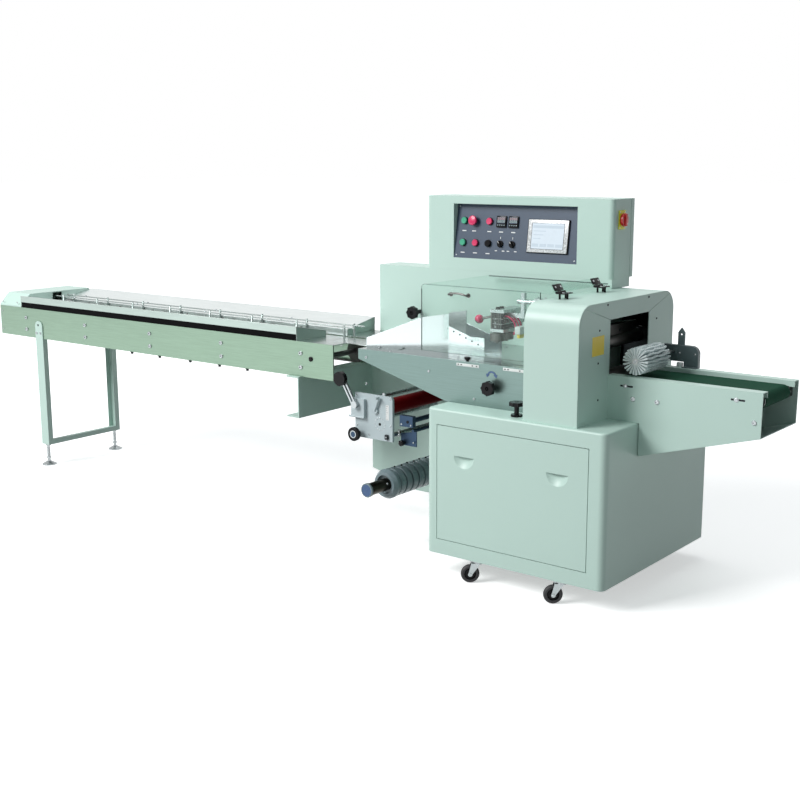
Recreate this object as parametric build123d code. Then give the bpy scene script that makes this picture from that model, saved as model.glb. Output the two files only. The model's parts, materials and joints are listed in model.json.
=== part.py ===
from build123d import *

import os
from math import atan2, cos, degrees, hypot, pi, radians, sin

# Horizontal flow wrapper.  All lengths are in millimetres.
# While it is built, x = 0 is the cabinet's left side, y = 0 its front and z = 0 the floor.
# The product travels towards +X, the operator stands on the -Y side, and +Z is up.

# ---- Cabinet ----
CABINET_WIDTH = 781.0
CABINET_DEPTH = 839.0
CABINET_HEIGHT = 576.0
CABINET_CORNER_R = 26.0
CABINET_EDGE_R = 8.0
SHEET = 3.0
CASTER_HEIGHT = 88.0
PANEL_SIDE_MARGIN = 58.0
PANEL_LOW_MARGIN = 58.0
PANEL_TOP_MARGIN = 61.0
PANEL_GAP = 2.5
PANEL_RETURN = 11.0
LIP_WIDTH = 20.0
PULL_WIDTH = 92.0
PULL_DEPTH = 16.0
PULL_DROP = 112.0
PULL_SIDE = 128.0

# ---- Casters ----
CASTER_WHEEL_R = 36.0
CASTER_WHEEL_WIDTH = 22.0
CASTER_HUB_WIDTH = 25.0
CASTER_TRAIL = 30.0
CASTER_TURN = 38.0
CASTER_PLATE = 44.0
CASTER_PLATE_THICKNESS = 4.0
CASTER_RACE_R = 17.0
CASTER_RACE_HEIGHT = 4.0
CASTER_CROWN = 4.0
CASTER_AXLE_R = 5.0
FORK_SHEET = 3.0
CASTER_LEFT = 230.0
CASTER_SPACING = 370.0
CASTER_INSET = 24.0
RUNNING_CLEARANCE = 0.06

# ---- Rear frame ----
WALL_Y = 600.0
WALL_THICKNESS = 12.0
WALL_RISE = 37.0
WALL_LEFT = -717.0
WALL_RIGHT = 457.0
WALL_TOE_X = -511.0
WALL_TOE_Z = 115.0
WALL_HEEL_Z = 178.0
HOUSING_DEPTH = 131.0
HOUSING_LEFT = -777.0
BRACKET_SHEET = 6.0
BRACKET_FRONT = 115.0
BRACKET_LOW = 504.0
BRACKET_KNEE_Y = 494.0
BRACKET_FLANGE = 66.0
BRACKET_HEEL = 30.0

# ---- Control box ----
BOX_LEFT = -451.0
BOX_WIDTH = 908.0
BOX_DEPTH = 183.0
BOX_HEIGHT = 311.0
BOX_CORNER_R = 20.0
RECESS_LEFT = 143.0
RECESS_WIDTH = 604.0
RECESS_LOW = 51.0
RECESS_HEIGHT = 228.0
RECESS_TOP_DEPTH = 33.0
RECESS_LOW_DEPTH = 2.0
PANEL_PLATE = 4.0
BUTTON_R = 12.0
BUTTON_HEIGHT = 12.0
BUTTON_COLUMNS = (44.0, 108.0, 172.0)
BUTTON_ROW_LOW = 66.0
BUTTON_ROW_HIGH = 158.0
STOP_COLUMN = 94.0
STOP_R = 21.0
STOP_STEM_R = 11.0
STOP_HEIGHT = 26.0
STOP_TRAVEL = 4.0
CONTROLLER_SIZE = 48.0
CONTROLLER_COLUMNS = (231.0, 291.0)
CONTROLLER_HEIGHT = 8.0
SELECTOR_COLUMNS = (232.0, 291.0)
SELECTOR_R = 11.0
SELECTOR_HEIGHT = 12.0
SCREEN_CENTRE = 462.0
SCREEN_ROW = 105.0
SCREEN_WIDTH = 196.0
SCREEN_HEIGHT = 138.0
SCREEN_THICKNESS = 7.0
SWITCH_Y = 64.0
SWITCH_Z = 230.0
SWITCH_WIDTH = 54.0
SWITCH_PLATE_HEIGHT = 74.0
SWITCH_PLATE = 4.0
SWITCH_KNOB_R = 19.0
SEAM_Y = 140.0
SEAM_WIDTH = 3.0
SEAM_DEPTH = 2.0

# ---- End sealer hood and jaws ----
HOOD_LEFT = 426.0
HOOD_LENGTH = 226.0
HOOD_FRONT = 17.0
HOOD_DEPTH = 731.0
HOOD_HEIGHT = 431.0
HOOD_CORNER_R = 75.0
PORT_FRONT = 240.0
PORT_BACK = 541.0
PORT_HIGH = 1028.0
NIP_LIFT = 18.0
JAW_R = 65.0
JAW_GAP = 5.0
JAW_X = 545.0
JAW_HUB_R = 27.0
JAW_JOURNAL_R = 18.0
JAW_BAR_WIDTH = 26.0
JAW_TEETH = 7
JAW_TOOTH_DEPTH = 1.5
BEARING_THICKNESS = 28.0
BEARING_INSET = 95.0
BEARING_WIDTH = 110.0
BEARING_RIM = 30.0

# ---- Wrapping table ----
APRON_Y = 132.0
APRON_SHEET = 3.0
APRON_LEFT = -453.0
APRON_TIP = 42.0
TABLE_Z = 832.0
TABLE_SHEET = 4.0
BRIDGE_FRONT = 220.0
BRIDGE_BACK = 508.0
FILM_SLOT_X = -300.0
FILM_SLOT_WIDTH = 10.0
FILM_SLOT_LENGTH = 330.0
PRODUCT_Y = 364.0
WING_SHEET = 3.0
WING_ENTRY = 182.0
WING_EXIT = 62.0
WING_LENGTH = 334.0
WING_HIGH = 153.0
WING_LOW = 40.0
WING_RUN = 175.0
WING_RUN_HIGH = 103.0
WING_RAIL = 68.0
WING_FALL = 109.0
COVER_LEFT = -126.0
COVER_BOTTOM = 857.0
COVER_RISE = 25.0
COVER_BACK = 574.0
COVER_SHEET = 5.0
COVER_CORNER_R = 20.0
COVER_SIDE_GAP = 6.0
COVER_END_GAP = 3.0
HINGE_X = 462.0
HINGE_R = 5.0
HINGE_PIN_R = 2.0
HINGE_LENGTH = 60.0
HINGE_LEAF = 4.0
HINGE_LEAF_LENGTH = 34.0
HINGE_LEAN = 30.0
HINGE_NOTCH = 7.5
HINGE_POST_R = 4.0
HINGE_POST_INSET = 9.0
HINGE_PLACES = (205.0, 484.0)
HANDLE_X = 145.0
HANDLE_DROP = 28.0
HANDLE_SPAN = 82.0
HANDLE_R = 4.0
HANDLE_STAND = 22.0

# ---- Centre seal ----
SEAL_X = 101.0
SEAL_WHEEL_R = 29.5
SEAL_WHEEL_THICKNESS = 30.0
SEAL_LIFT = 59.0
SEAL_NIP = 5.0
SEAL_SHAFT_R = 8.0
SEAL_HUB_R = 16.0
SEAL_BLOCK_LOW = 926.0
SEAL_PLATE = 12.0
SEAL_PLATE_LEFT = 73.0
SEAL_PLATE_LENGTH = 64.0
SEAL_PLATE_FRONT = 320.0
SEAL_PLATE_BACK = 470.0
SEAL_BLOCK_HEIGHT = 65.0
SEAL_BLOCK_LEFT = 88.0
SEAL_BLOCK_RIGHT = 130.0
SEAL_BLOCK_BACK = 408.0
SEAL_GEAR_GAP = 12.0
SEAL_ARM_HEIGHT = 40.0
SEAL_ARM_LENGTH = 34.0
BEAM_Z = 1050.0
BEAM_R = 9.0
BEAM_POST_X = 201.0
BEAM_POST = 16.0
BEAM_POST_LOW = 985.0
BEAM_POST_HIGH = 1085.0
BEAM_CLAMPS = ((255.0, 285.0), (292.0, 310.0))
BEAM_CLAMP_R = 17.0
LEVER_X = 74.0
LEVER_Z = 986.0
LEVER_BALL_R = 18.0
LEVER_LENGTH = 83.0
LEVER_ROD_R = 5.0
LEVER_RISE = 21.0
LEVER_PIN_R = 3.0
LEVER_EYE_R = 8.0
LEVER_EYE_WIDTH = 12.0
LEVER_LUG = 6.0

# ---- Hand knobs ----
KNOB_R = 29.0
KNOB_THICKNESS = 18.0
KNOB_LOBES = 8
KNOB_LOBE_R = 6.0
KNOB_STEM_R = 9.0
KNOB_STANDOFF = 24.0
APRON_KNOB_X = 217.0
APRON_KNOB_DROP = 86.0
WALL_KNOB_X = -487.0
WALL_KNOB_Z = 936.0
WALL_KNOB_STANDOFF = 48.0
CLAMP_KNOB_X = 368.0
CLAMP_KNOB_Y = 66.0
CLAMP_KNOB_STANDOFF = 40.0
CLAMP_FOOT_R = 22.0
CLAMP_FOOT_HEIGHT = 8.0

# ---- Infeed conveyor ----
INFEED_LEFT = -2968.0
INFEED_RIGHT = -592.0
INFEED_FRONT = 132.0
INFEED_BACK = 596.0
INFEED_DEPTH = 153.0
INFEED_SHEET = 6.0
DECK_SHEET = 3.0
CHAIN_SLOT = 32.0
TRAY_LEFT = -2780.0
TRAY_RIGHT = -800.0
TRAY_BACK_RIGHT = -745.0
TRAY_HEIGHT = 61.0
TRAY_LOW = 25.0
TRAY_INNER = 192.0
TRAY_LIP = 33.0
TRAY_SUPPORTS = 6
GUIDE_HALF_GAP = 34.0
GUIDE_ROD_R = 3.0
GUIDE_HEIGHT = 46.0
GUIDE_POST_R = 5.0
GUIDE_POSTS = 8
GUIDE_LEFT = -2740.0
GUIDE_RIGHT = -640.0
CHAIN_DROP = 10.0
CHAIN_R = 50.0
CHAIN_THICKNESS = 8.0
CHAIN_WIDTH = 14.0
CHAIN_END = 74.0
PUSHER_PITCH = 254.0
PUSHER_HEIGHT = 32.0
PUSHER_THICKNESS = 4.0
SPROCKET_WIDTH = 12.0
INFEED_SHAFT_R = 12.0
COVER_HOUSE_HEIGHT = 65.0
COVER_HOUSE_CHAMFER = 21.0
COVER_HOUSE_SHEET = 3.0
HOUSE_GAP = 1.0
HOUSE_WINDOW_WIDTH = 60.0
HOUSE_WINDOW_HEIGHT = 60.0
LEG_LEFT = -2663.0
LEG_WIDTH = 60.0
LEG_DEPTH = 28.0
LEG_TAB = 4.0
LEG_SHEET = 3.0
LEG_TOP = 770.0
LEG_BOTTOM = 112.0
CROSSBAR = 25.0
FOOT_R = 37.0
FOOT_RIM = 5.0
FOOT_HEIGHT = 18.0
FOOT_STUD_R = 8.0
FOOT_NUT_R = 13.0
FOOT_NUT = 9.0
FOOT_INSET = 16.0

# ---- Film unit and reel ----
FILM_PLATE_Y = 100.0
FILM_PLATE_THICKNESS = 12.0
FILM_PLATE_LEFT = -445.0
FILM_PLATE_RIGHT = -248.0
FILM_PLATE_LOW = 469.0
FILM_PLATE_HIGH = 655.0
FILM_CORNER = 22.0
FILM_BLOCK_LEFT = -455.0
FILM_BLOCK_RIGHT = -386.0
FILM_BLOCK_LOW = 556.0
FILM_BLOCK_HIGH = 632.0
FILM_BLOCK_FRONT = 85.0
TEE_PIN_R = 4.0
TEE_PIN_REACH = 12.0
HANDLE_BASE_X = -334.0
HANDLE_BASE_Z = 591.0
HANDLE_TIP_X = -311.0
HANDLE_TIP_Z = 647.0
HANDLE_BASE_R = 13.0
HANDLE_BASE = 9.0
HANDLE_BAR_R = 5.0
HANDLE_GRIP = 22.0
CROSS_ROD_R = 10.0
CROSS_RODS = ((-405.0, 622.0), (-262.0, 495.0), (-400.0, 530.0))
RUBBER_X = -292.0
RUBBER_Z = 607.0
RUBBER_R = 32.0
RUBBER_AXLE_R = 9.0
RUBBER_END_GAP = 6.0
NIP_LEVER_X = -425.0
NIP_LEVER_Z = 609.0
NIP_LEVER_LENGTH = 140.0
NIP_BOSS_R = 15.0
NIP_BOSS = 19.0
NIP_LEVER_THICKNESS = 10.0
NIP_BAR = 7.0
NIP_BAR_OFFSET = 8.0
NIP_BRIDGE = 15.0
NIP_LEVER_LEAN = 121.0
NIP_KNOB_R = 29.0
NIP_KNOB = 18.0
NIP_KNOB_PLACE = 121.0
TENSION_X = -425.0
TENSION_Z = 486.0
TENSION_R = 29.0
TENSION_STEM_R = 9.0
TENSION_STEM = 24.0
TENSION_HEAD = 16.0
SENSOR_ROD_X = -182.0
SENSOR_ROD_Z = 560.0
SENSOR_ROD_R = 10.0
SENSOR_LEFT = -223.0
SENSOR_WIDTH = 66.0
SENSOR_LOW = 539.0
SENSOR_HEIGHT = 45.0
SENSOR_FRONT = 115.0
SENSOR_DEPTH = 21.0
HANGER_ROD_X = -182.0
HANGER_ROD_Z = 516.0
HANGER_ROD_R = 7.0
HANGER_LEFT = -244.0
HANGER_WIDTH = 80.0
HANGER_LOW = 452.0
HANGER_HIGH = 516.0
HANGER_SLOPE = 16.0
HANGER_FRONT = 150.0
HANGER_SHEET = 4.0
REEL_X = -331.0
REEL_Z = 268.0
REEL_FRONT = 30.0
REEL_SHAFT_R = 26.0
REEL_CAP_R = 29.5
REEL_CAP = 12.0
REEL_RING_R = 61.0
REEL_RING_WIDTH = 33.0
REEL_RING_GAP = 9.0
REEL_RINGS = 8
REEL_RINGS_START = 189.0
REEL_COLLAR_R = 63.0
REEL_COLLAR_NOSE_R = 52.0
REEL_COLLAR = 34.0
REEL_COLLAR_CONE = 18.0
REEL_COLLAR_HOLE_R = 40.0
REEL_COLLAR_HOLE = 16.0
REEL_BOSS_R = 42.0
REEL_BOSS = 22.0
REEL_END_GAP = 5.0

# ---- Outfeed conveyor and brush ----
OUTFEED_FRONT = 230.0
OUTFEED_BACK = 553.0
OUTFEED_LENGTH = 588.0
OUTFEED_STEP = 4.0
OUTFEED_SHEET = 3.0
OUTFEED_DROP = 286.0
OUTFEED_END_DROP = 159.0
OUTFEED_HANG_GAP = 3.0
OUTFEED_FLANGE = 40.0
OUTFEED_LIP = 22.0
OUTFEED_BAR_GAP = 2.0
OUTFEED_BELT_WIDTH = 214.0
OUTFEED_BELT_DROP = 13.0
OUTFEED_BELT_SHEET = 3.0
OUTFEED_ROLLER_R = 24.0
OUTFEED_ROLLER_INSET = 36.0
BRUSH_X = 755.0
BRUSH_CLEARANCE = 5.5
BRUSH_R = 51.0
BRUSH_HUB_R = 21.0
BRUSH_FRONT = 246.0
BRUSH_LENGTH = 185.0
BRUSH_BLADES = 22
BRUSH_BLADE = 2.4
BRUSH_AXLE_R = 7.0
ARM_LEFT = 715.0
ARM_RIGHT = 858.0
ARM_LOW = 848.0
ARM_HIGH = 910.0
ARM_CORNER_R = 30.0
ARM_LEG = 58.0
ARM_SHEET = 20.0
ARM_FOOT = 18.0
TAG_X = 784.0
TAG_WIDTH = 27.0
TAG_HEIGHT = 66.0
TAG_POINT = 18.0
TAG_SHEET = 7.0
TAG_HOLE_R = 4.0
TAG_HOLE_DROP = 26.0
TAG_ROOT = 8.0

# ---- Worked-out sizes ----
CABINET_TOP = CASTER_HEIGHT + CABINET_HEIGHT
PANEL_LEFT = PANEL_SIDE_MARGIN - 9.0
PANEL_RIGHT = CABINET_WIDTH - PANEL_SIDE_MARGIN - 9.0
PANEL_LOW = CASTER_HEIGHT + PANEL_LOW_MARGIN
PANEL_HIGH = CABINET_TOP - PANEL_TOP_MARGIN
HOOD_RIGHT = HOOD_LEFT + HOOD_LENGTH
HOOD_TOP = CABINET_TOP + HOOD_HEIGHT
WALL_TOP = HOOD_TOP + WALL_RISE
COVER_TOP = HOOD_TOP + COVER_RISE
HOOD_BACK = HOOD_FRONT + HOOD_DEPTH
BOX_RIGHT = BOX_LEFT + BOX_WIDTH
TABLE_LOW = TABLE_Z - TABLE_SHEET
INFEED_LOW = TABLE_Z - INFEED_DEPTH
OUTFEED_END = HOOD_RIGHT + OUTFEED_LENGTH
JAW_OFFSET = JAW_R + JAW_GAP / 2
NIP_Z = TABLE_Z + NIP_LIFT
SEAL_WHEEL_Z = TABLE_Z + SEAL_LIFT
OUTFEED_TOP = TABLE_Z - OUTFEED_STEP
OUTFEED_BELT_TOP = OUTFEED_TOP - OUTFEED_BELT_DROP
BRUSH_Z = OUTFEED_TOP + BRUSH_CLEARANCE + BRUSH_R


# ---- Shape helpers ----
def block(x0, x1, y0, y1, z0, z1):
    """Box between two corners."""
    corner = (Align.MIN, Align.MIN, Align.MIN)
    return Pos(x0, y0, z0) * Box(x1 - x0, y1 - y0, z1 - z0, align=corner)


def rod_x(x0, x1, y, z, radius):
    """Round bar along X."""
    return Pos((x0 + x1) / 2, y, z) * Rot(0, 90, 0) * Cylinder(radius, x1 - x0)


def rod_y(y0, y1, x, z, radius):
    """Round bar along Y."""
    return Pos(x, (y0 + y1) / 2, z) * Rot(90, 0, 0) * Cylinder(radius, y1 - y0)


def rod_z(z0, z1, x, y, radius):
    """Upright round bar."""
    return Pos(x, y, (z0 + z1) / 2) * Cylinder(radius, z1 - z0)


def plate_xz(points, y0, y1):
    """Flat plate whose outline is given as (x, z) points."""
    outline = Polyline(*[(x, y0, z) for x, z in points], close=True)
    return extrude(make_face(outline), y1 - y0, dir=(0, 1, 0))


def plate_yz(points, x0, x1):
    """Flat plate whose outline is given as (y, z) points."""
    outline = Polyline(*[(x0, y, z) for y, z in points], close=True)
    return extrude(make_face(outline), x1 - x0, dir=(1, 0, 0))


def union(pieces):
    """One solid from pieces that meet."""
    first, *rest = pieces
    return first.fuse(*rest) if rest else first


def group(pieces):
    """Like pieces that share a node and don't touch."""
    solids = [solid for piece in pieces for solid in piece.solids()]
    return Compound(children=solids)


def lobed_knob(axis_place, standoff, thickness=KNOB_THICKNESS):
    """Lobed hand knob on a stem; local +Z points away from the machine."""
    stem = Pos(0, 0, standoff / 2) * Cylinder(KNOB_STEM_R, standoff)
    head = Pos(0, 0, standoff + thickness / 2) * Cylinder(KNOB_R - KNOB_LOBE_R / 2, thickness)
    lobes = [
        Pos(0, 0, standoff + thickness / 2)
        * Rot(0, 0, 360 / KNOB_LOBES * i)
        * Pos(KNOB_R - KNOB_LOBE_R, 0, 0)
        * Cylinder(KNOB_LOBE_R, thickness)
        for i in range(KNOB_LOBES)
    ]
    return axis_place * union([stem, head] + lobes)


# ---- Cabinet ----
def base_cabinet():
    outer = block(0, CABINET_WIDTH, 0, CABINET_DEPTH, CASTER_HEIGHT, CABINET_TOP)
    outer = fillet(outer.edges().filter_by(Axis.Z), CABINET_CORNER_R)
    outer = fillet(outer.faces().sort_by(Axis.Z)[-1].edges(), CABINET_EDGE_R)
    inner = block(
        SHEET, CABINET_WIDTH - SHEET, SHEET, CABINET_DEPTH - SHEET, CASTER_HEIGHT + SHEET, CABINET_TOP - SHEET
    )
    inner = fillet(inner.edges().filter_by(Axis.Z), CABINET_CORNER_R - SHEET)
    inner = fillet(inner.faces().sort_by(Axis.Z)[-1].edges(), CABINET_EDGE_R - SHEET)
    # The return behind the opening steps back and carries the front panel.
    step = SHEET + PANEL_RETURN
    frame = block(PANEL_LEFT - SHEET, PANEL_RIGHT + SHEET, SHEET, step + SHEET, PANEL_LOW - SHEET, PANEL_HIGH + SHEET)
    opening = block(PANEL_LEFT, PANEL_RIGHT, -1, step, PANEL_LOW, PANEL_HIGH)
    window = block(
        PANEL_LEFT + LIP_WIDTH,
        PANEL_RIGHT - LIP_WIDTH,
        -1,
        step + 2 * SHEET,
        PANEL_LOW + LIP_WIDTH,
        PANEL_HIGH - LIP_WIDTH,
    )
    return outer - inner + frame - opening - window


def pull_places():
    z = PANEL_HIGH - PULL_DROP
    return ((PANEL_LEFT + PULL_SIDE, z), (PANEL_RIGHT - PULL_SIDE, z))


def front_panel():
    x0, x1 = PANEL_LEFT + PANEL_GAP, PANEL_RIGHT - PANEL_GAP
    z0, z1 = PANEL_LOW + PANEL_GAP, PANEL_HIGH - PANEL_GAP
    depth = SHEET + PANEL_RETURN
    pan = block(x0, x1, 0, depth, z0, z1)
    pan -= block(x0 + SHEET, x1 - SHEET, SHEET, depth + 1, z0 + SHEET, z1 - SHEET)
    # Half-moon finger pulls are scoops below a straight top edge.
    ball_r = (PULL_WIDTH**2 / 4 + PULL_DEPTH**2) / (2 * PULL_DEPTH)
    for x, z in pull_places():
        centre = Pos(x, PULL_DEPTH - ball_r, z)
        low = z - PULL_WIDTH / 2 - SHEET
        side = PULL_WIDTH / 2 + SHEET
        cup = centre * Sphere(ball_r + SHEET / 2)
        cup = cup & block(x - side, x + side, SHEET / 2, PULL_DEPTH + SHEET, low, z + SHEET)
        scoop = centre * Sphere(ball_r) & block(x - side, x + side, -1, PULL_DEPTH + 1, low, z)
        pan = pan + cup - scoop
    return pan


# ---- Casters ----
def caster_axes():
    """Swivel axes (x, y) of the four casters."""
    xs = (CASTER_LEFT, CASTER_LEFT + CASTER_SPACING)
    ys = (CASTER_INSET, CABINET_DEPTH - CASTER_INSET)
    return [(x, y) for y in ys for x in xs]


def caster_plates():
    plates = []
    for x, y in caster_axes():
        half = CASTER_PLATE / 2
        top = CASTER_HEIGHT - CASTER_PLATE_THICKNESS
        plate = block(x - half, x + half, y - half, y + half, top, CASTER_HEIGHT)
        race = rod_z(top - CASTER_RACE_HEIGHT, top, x, y, CASTER_RACE_R)
        plates.append(plate + race)
    return group(plates)


def caster_fork(x, y):
    top = CASTER_HEIGHT - CASTER_PLATE_THICKNESS - CASTER_RACE_HEIGHT
    inner = CASTER_HUB_WIDTH / 2 + 1
    outer = inner + FORK_SHEET
    crown = rod_z(top - CASTER_CROWN, top, 0, 0, CASTER_RACE_R + 2)
    crown += block(-CASTER_TRAIL + 4, 8, -outer, outer, top - CASTER_CROWN, top)
    profile = [(10, top), (-26, top), (-CASTER_TRAIL - 8, CASTER_WHEEL_R), (-CASTER_TRAIL + 2, CASTER_WHEEL_R - 8)]
    pieces = [crown]
    for side in (-1, 1):
        y0, y1 = sorted((side * inner, side * outer))
        pieces.append(plate_xz(profile, y0, y1))
        pieces.append(rod_y(y0, y1, -CASTER_TRAIL, CASTER_WHEEL_R, 8.5))
    pieces.append(rod_y(-outer - 3, outer + 3, -CASTER_TRAIL, CASTER_WHEEL_R, CASTER_AXLE_R))
    return Pos(x, y, 0) * Rot(0, 0, CASTER_TURN) * union(pieces)


def caster_wheel(x, y):
    tyre = rod_y(-CASTER_WHEEL_WIDTH / 2, CASTER_WHEEL_WIDTH / 2, -CASTER_TRAIL, CASTER_WHEEL_R, CASTER_WHEEL_R)
    tyre = fillet(tyre.edges().filter_by(GeomType.CIRCLE), 4)
    hub = rod_y(-CASTER_HUB_WIDTH / 2, CASTER_HUB_WIDTH / 2, -CASTER_TRAIL, CASTER_WHEEL_R, 12)
    bore = rod_y(-30, 30, -CASTER_TRAIL, CASTER_WHEEL_R, CASTER_AXLE_R + RUNNING_CLEARANCE)
    return Pos(x, y, 0) * Rot(0, 0, CASTER_TURN) * (tyre + hub - bore)


# ---- Rear frame ----
def main_plate():
    outline = [
        (WALL_LEFT, WALL_TOP),
        (WALL_RIGHT, WALL_TOP),
        (WALL_RIGHT, HOOD_TOP),
        (HOOD_LEFT, HOOD_TOP),
        (HOOD_LEFT, CABINET_TOP),
        (0, CABINET_TOP),
        (0, WALL_TOE_Z),
        (WALL_TOE_X, WALL_TOE_Z),
        (WALL_LEFT, WALL_HEEL_Z),
    ]
    plate = plate_xz(outline, WALL_Y, WALL_Y + WALL_THICKNESS)
    # A bearing boss carries the reel shaft.
    plate += rod_y(WALL_Y - REEL_BOSS, WALL_Y, REEL_X, REEL_Z, REEL_BOSS_R)
    plate -= rod_y(WALL_Y - REEL_BOSS - 1, WALL_Y - REEL_END_GAP + 1, REEL_X, REEL_Z, REEL_SHAFT_R + RUNNING_CLEARANCE)
    return plate


def rear_housing():
    y0 = WALL_Y + WALL_THICKNESS
    outline = [
        (WALL_LEFT, WALL_TOP),
        (WALL_RIGHT, WALL_TOP),
        (WALL_RIGHT, HOOD_TOP),
        (HOOD_LEFT, HOOD_TOP),
        (HOOD_LEFT, CABINET_TOP),
        (0, CABINET_TOP),
        (0, WALL_TOE_Z),
        (WALL_TOE_X, WALL_TOE_Z),
        (HOUSING_LEFT, WALL_HEEL_Z),
        (HOUSING_LEFT, INFEED_LOW),
        (WALL_LEFT, INFEED_LOW),
    ]
    return plate_xz(outline, y0, y0 + HOUSING_DEPTH)


def infeed_bracket():
    x1 = HOUSING_LEFT
    x0 = x1 - BRACKET_SHEET
    back = WALL_Y + WALL_THICKNESS + HOUSING_DEPTH
    outline = [
        (BRACKET_FRONT, INFEED_LOW),
        (BRACKET_FRONT, BRACKET_LOW),
        (BRACKET_KNEE_Y, BRACKET_LOW),
        (back - BRACKET_HEEL, WALL_HEEL_Z),
        (back, WALL_HEEL_Z),
        (back, INFEED_LOW),
    ]
    web = plate_yz(outline, x0, x1)
    low = block(x0 - BRACKET_FLANGE, x1, BRACKET_FRONT, BRACKET_KNEE_Y, BRACKET_LOW - BRACKET_SHEET, BRACKET_LOW)
    high = block(x0 - BRACKET_FLANGE, x1, BRACKET_FRONT, back, INFEED_LOW - BRACKET_SHEET, INFEED_LOW)
    return web + low + high


# ---- Control box ----
RECESS_TILT = atan2(RECESS_TOP_DEPTH - RECESS_LOW_DEPTH, RECESS_HEIGHT)


def control_box():
    shell = block(BOX_LEFT, BOX_RIGHT, WALL_Y, WALL_Y + BOX_DEPTH, WALL_TOP, WALL_TOP + BOX_HEIGHT)
    shell = fillet(shell.edges().filter_by(Axis.Z), BOX_CORNER_R)
    x0 = BOX_LEFT + RECESS_LEFT
    low, high = WALL_TOP + RECESS_LOW, WALL_TOP + RECESS_LOW + RECESS_HEIGHT
    recess = [
        (WALL_Y - 1, low),
        (WALL_Y + RECESS_LOW_DEPTH + PANEL_PLATE, low),
        (WALL_Y + RECESS_TOP_DEPTH + PANEL_PLATE, high),
        (WALL_Y - 1, high),
    ]
    shell -= plate_yz(recess, x0, x0 + RECESS_WIDTH)
    # A groove marks the rear door.
    y0 = WALL_Y + SEAM_Y
    seam = block(BOX_RIGHT - SEAM_DEPTH, BOX_RIGHT + 1, y0, y0 + SEAM_WIDTH, WALL_TOP - 1, WALL_TOP + BOX_HEIGHT + 1)
    # The emergency stop's stem runs into a pocket behind the panel.
    pocket = stop_place() * Pos(0, 0, -10) * Cylinder(STOP_STEM_R + 1, 30)
    return shell - seam - pocket


def control_panel():
    x0 = BOX_LEFT + RECESS_LEFT
    low, high = WALL_TOP + RECESS_LOW, WALL_TOP + RECESS_LOW + RECESS_HEIGHT
    section = [
        (WALL_Y + RECESS_LOW_DEPTH, low),
        (WALL_Y + RECESS_LOW_DEPTH + PANEL_PLATE, low),
        (WALL_Y + RECESS_TOP_DEPTH + PANEL_PLATE, high),
        (WALL_Y + RECESS_TOP_DEPTH, high),
    ]
    bore = Cylinder(STOP_STEM_R + RUNNING_CLEARANCE, 6 * PANEL_PLATE)
    return plate_yz(section, x0, x0 + RECESS_WIDTH) - stop_place() * bore


def stop_place():
    return panel_place(STOP_COLUMN, BUTTON_ROW_HIGH)


def panel_place(across, up):
    """Place on the tilted panel; local +Z stands out of it and local +Y runs up it."""
    origin = (
        BOX_LEFT + RECESS_LEFT + across,
        WALL_Y + RECESS_LOW_DEPTH + up * sin(RECESS_TILT),
        WALL_TOP + RECESS_LOW + up * cos(RECESS_TILT),
    )
    plane = Plane(origin=origin, x_dir=(1, 0, 0), z_dir=(0, -cos(RECESS_TILT), sin(RECESS_TILT)))
    return plane.location


def push_button():
    ring = Pos(0, 0, 2) * Cylinder(BUTTON_R, 4)
    cap = Pos(0, 0, BUTTON_HEIGHT / 2) * Cylinder(BUTTON_R - 3, BUTTON_HEIGHT)
    return ring + cap


def panel_instruments():
    pieces = []
    for i, across in enumerate(BUTTON_COLUMNS):
        pieces.append(panel_place(across, BUTTON_ROW_LOW) * push_button())
        if i != 1:
            pieces.append(panel_place(across, BUTTON_ROW_HIGH) * push_button())
    for across in CONTROLLER_COLUMNS:
        body = Box(CONTROLLER_SIZE, CONTROLLER_SIZE, CONTROLLER_HEIGHT)
        pieces.append(panel_place(across, BUTTON_ROW_HIGH) * Pos(0, 0, CONTROLLER_HEIGHT / 2) * body)
    screen = Box(SCREEN_WIDTH, SCREEN_HEIGHT, SCREEN_THICKNESS)
    screen = fillet(screen.edges().filter_by(Axis.Z), 4)
    glass = Pos(0, 0, SCREEN_THICKNESS / 2) * Box(SCREEN_WIDTH * 0.78, SCREEN_HEIGHT * 0.66, 2)
    pieces.append(panel_place(SCREEN_CENTRE, SCREEN_ROW) * Pos(0, 0, SCREEN_THICKNESS / 2) * (screen - glass))
    plate = Box(SWITCH_WIDTH, SWITCH_PLATE_HEIGHT, SWITCH_PLATE)
    plate = fillet(plate.edges().filter_by(Axis.Z), 6)
    pieces.append(switch_place() * Pos(0, 0, SWITCH_PLATE / 2) * plate)
    return group(pieces)


def emergency_stop():
    depth = 2 * PANEL_PLATE
    stem = Pos(0, 0, (STOP_HEIGHT - depth) / 2) * Cylinder(STOP_STEM_R, STOP_HEIGHT + depth)
    head = Pos(0, 0, STOP_HEIGHT - 7) * Cylinder(STOP_R, 12)
    head = fillet(head.edges().sort_by(Axis.Z)[-1], 5)
    return stop_place() * (stem + head)


def selector_knob(across):
    collar = Pos(0, 0, 2) * Cylinder(SELECTOR_R, 4)
    grip = Pos(0, 0, SELECTOR_HEIGHT / 2) * Box(6, 2 * SELECTOR_R - 2, SELECTOR_HEIGHT)
    return panel_place(across, BUTTON_ROW_LOW) * (collar + grip)


def switch_place():
    origin = (BOX_RIGHT, WALL_Y + SWITCH_Y, WALL_TOP + SWITCH_Z)
    return Plane(origin=origin, x_dir=(0, 1, 0), z_dir=(1, 0, 0)).location


def main_switch_knob():
    base = Pos(0, 0, SWITCH_PLATE + 5) * Cylinder(SWITCH_KNOB_R, 10)
    grip = Pos(0, 0, SWITCH_PLATE + 15) * Box(11, 2 * SWITCH_KNOB_R - 4, 12)
    return switch_place() * (base + grip)


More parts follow.
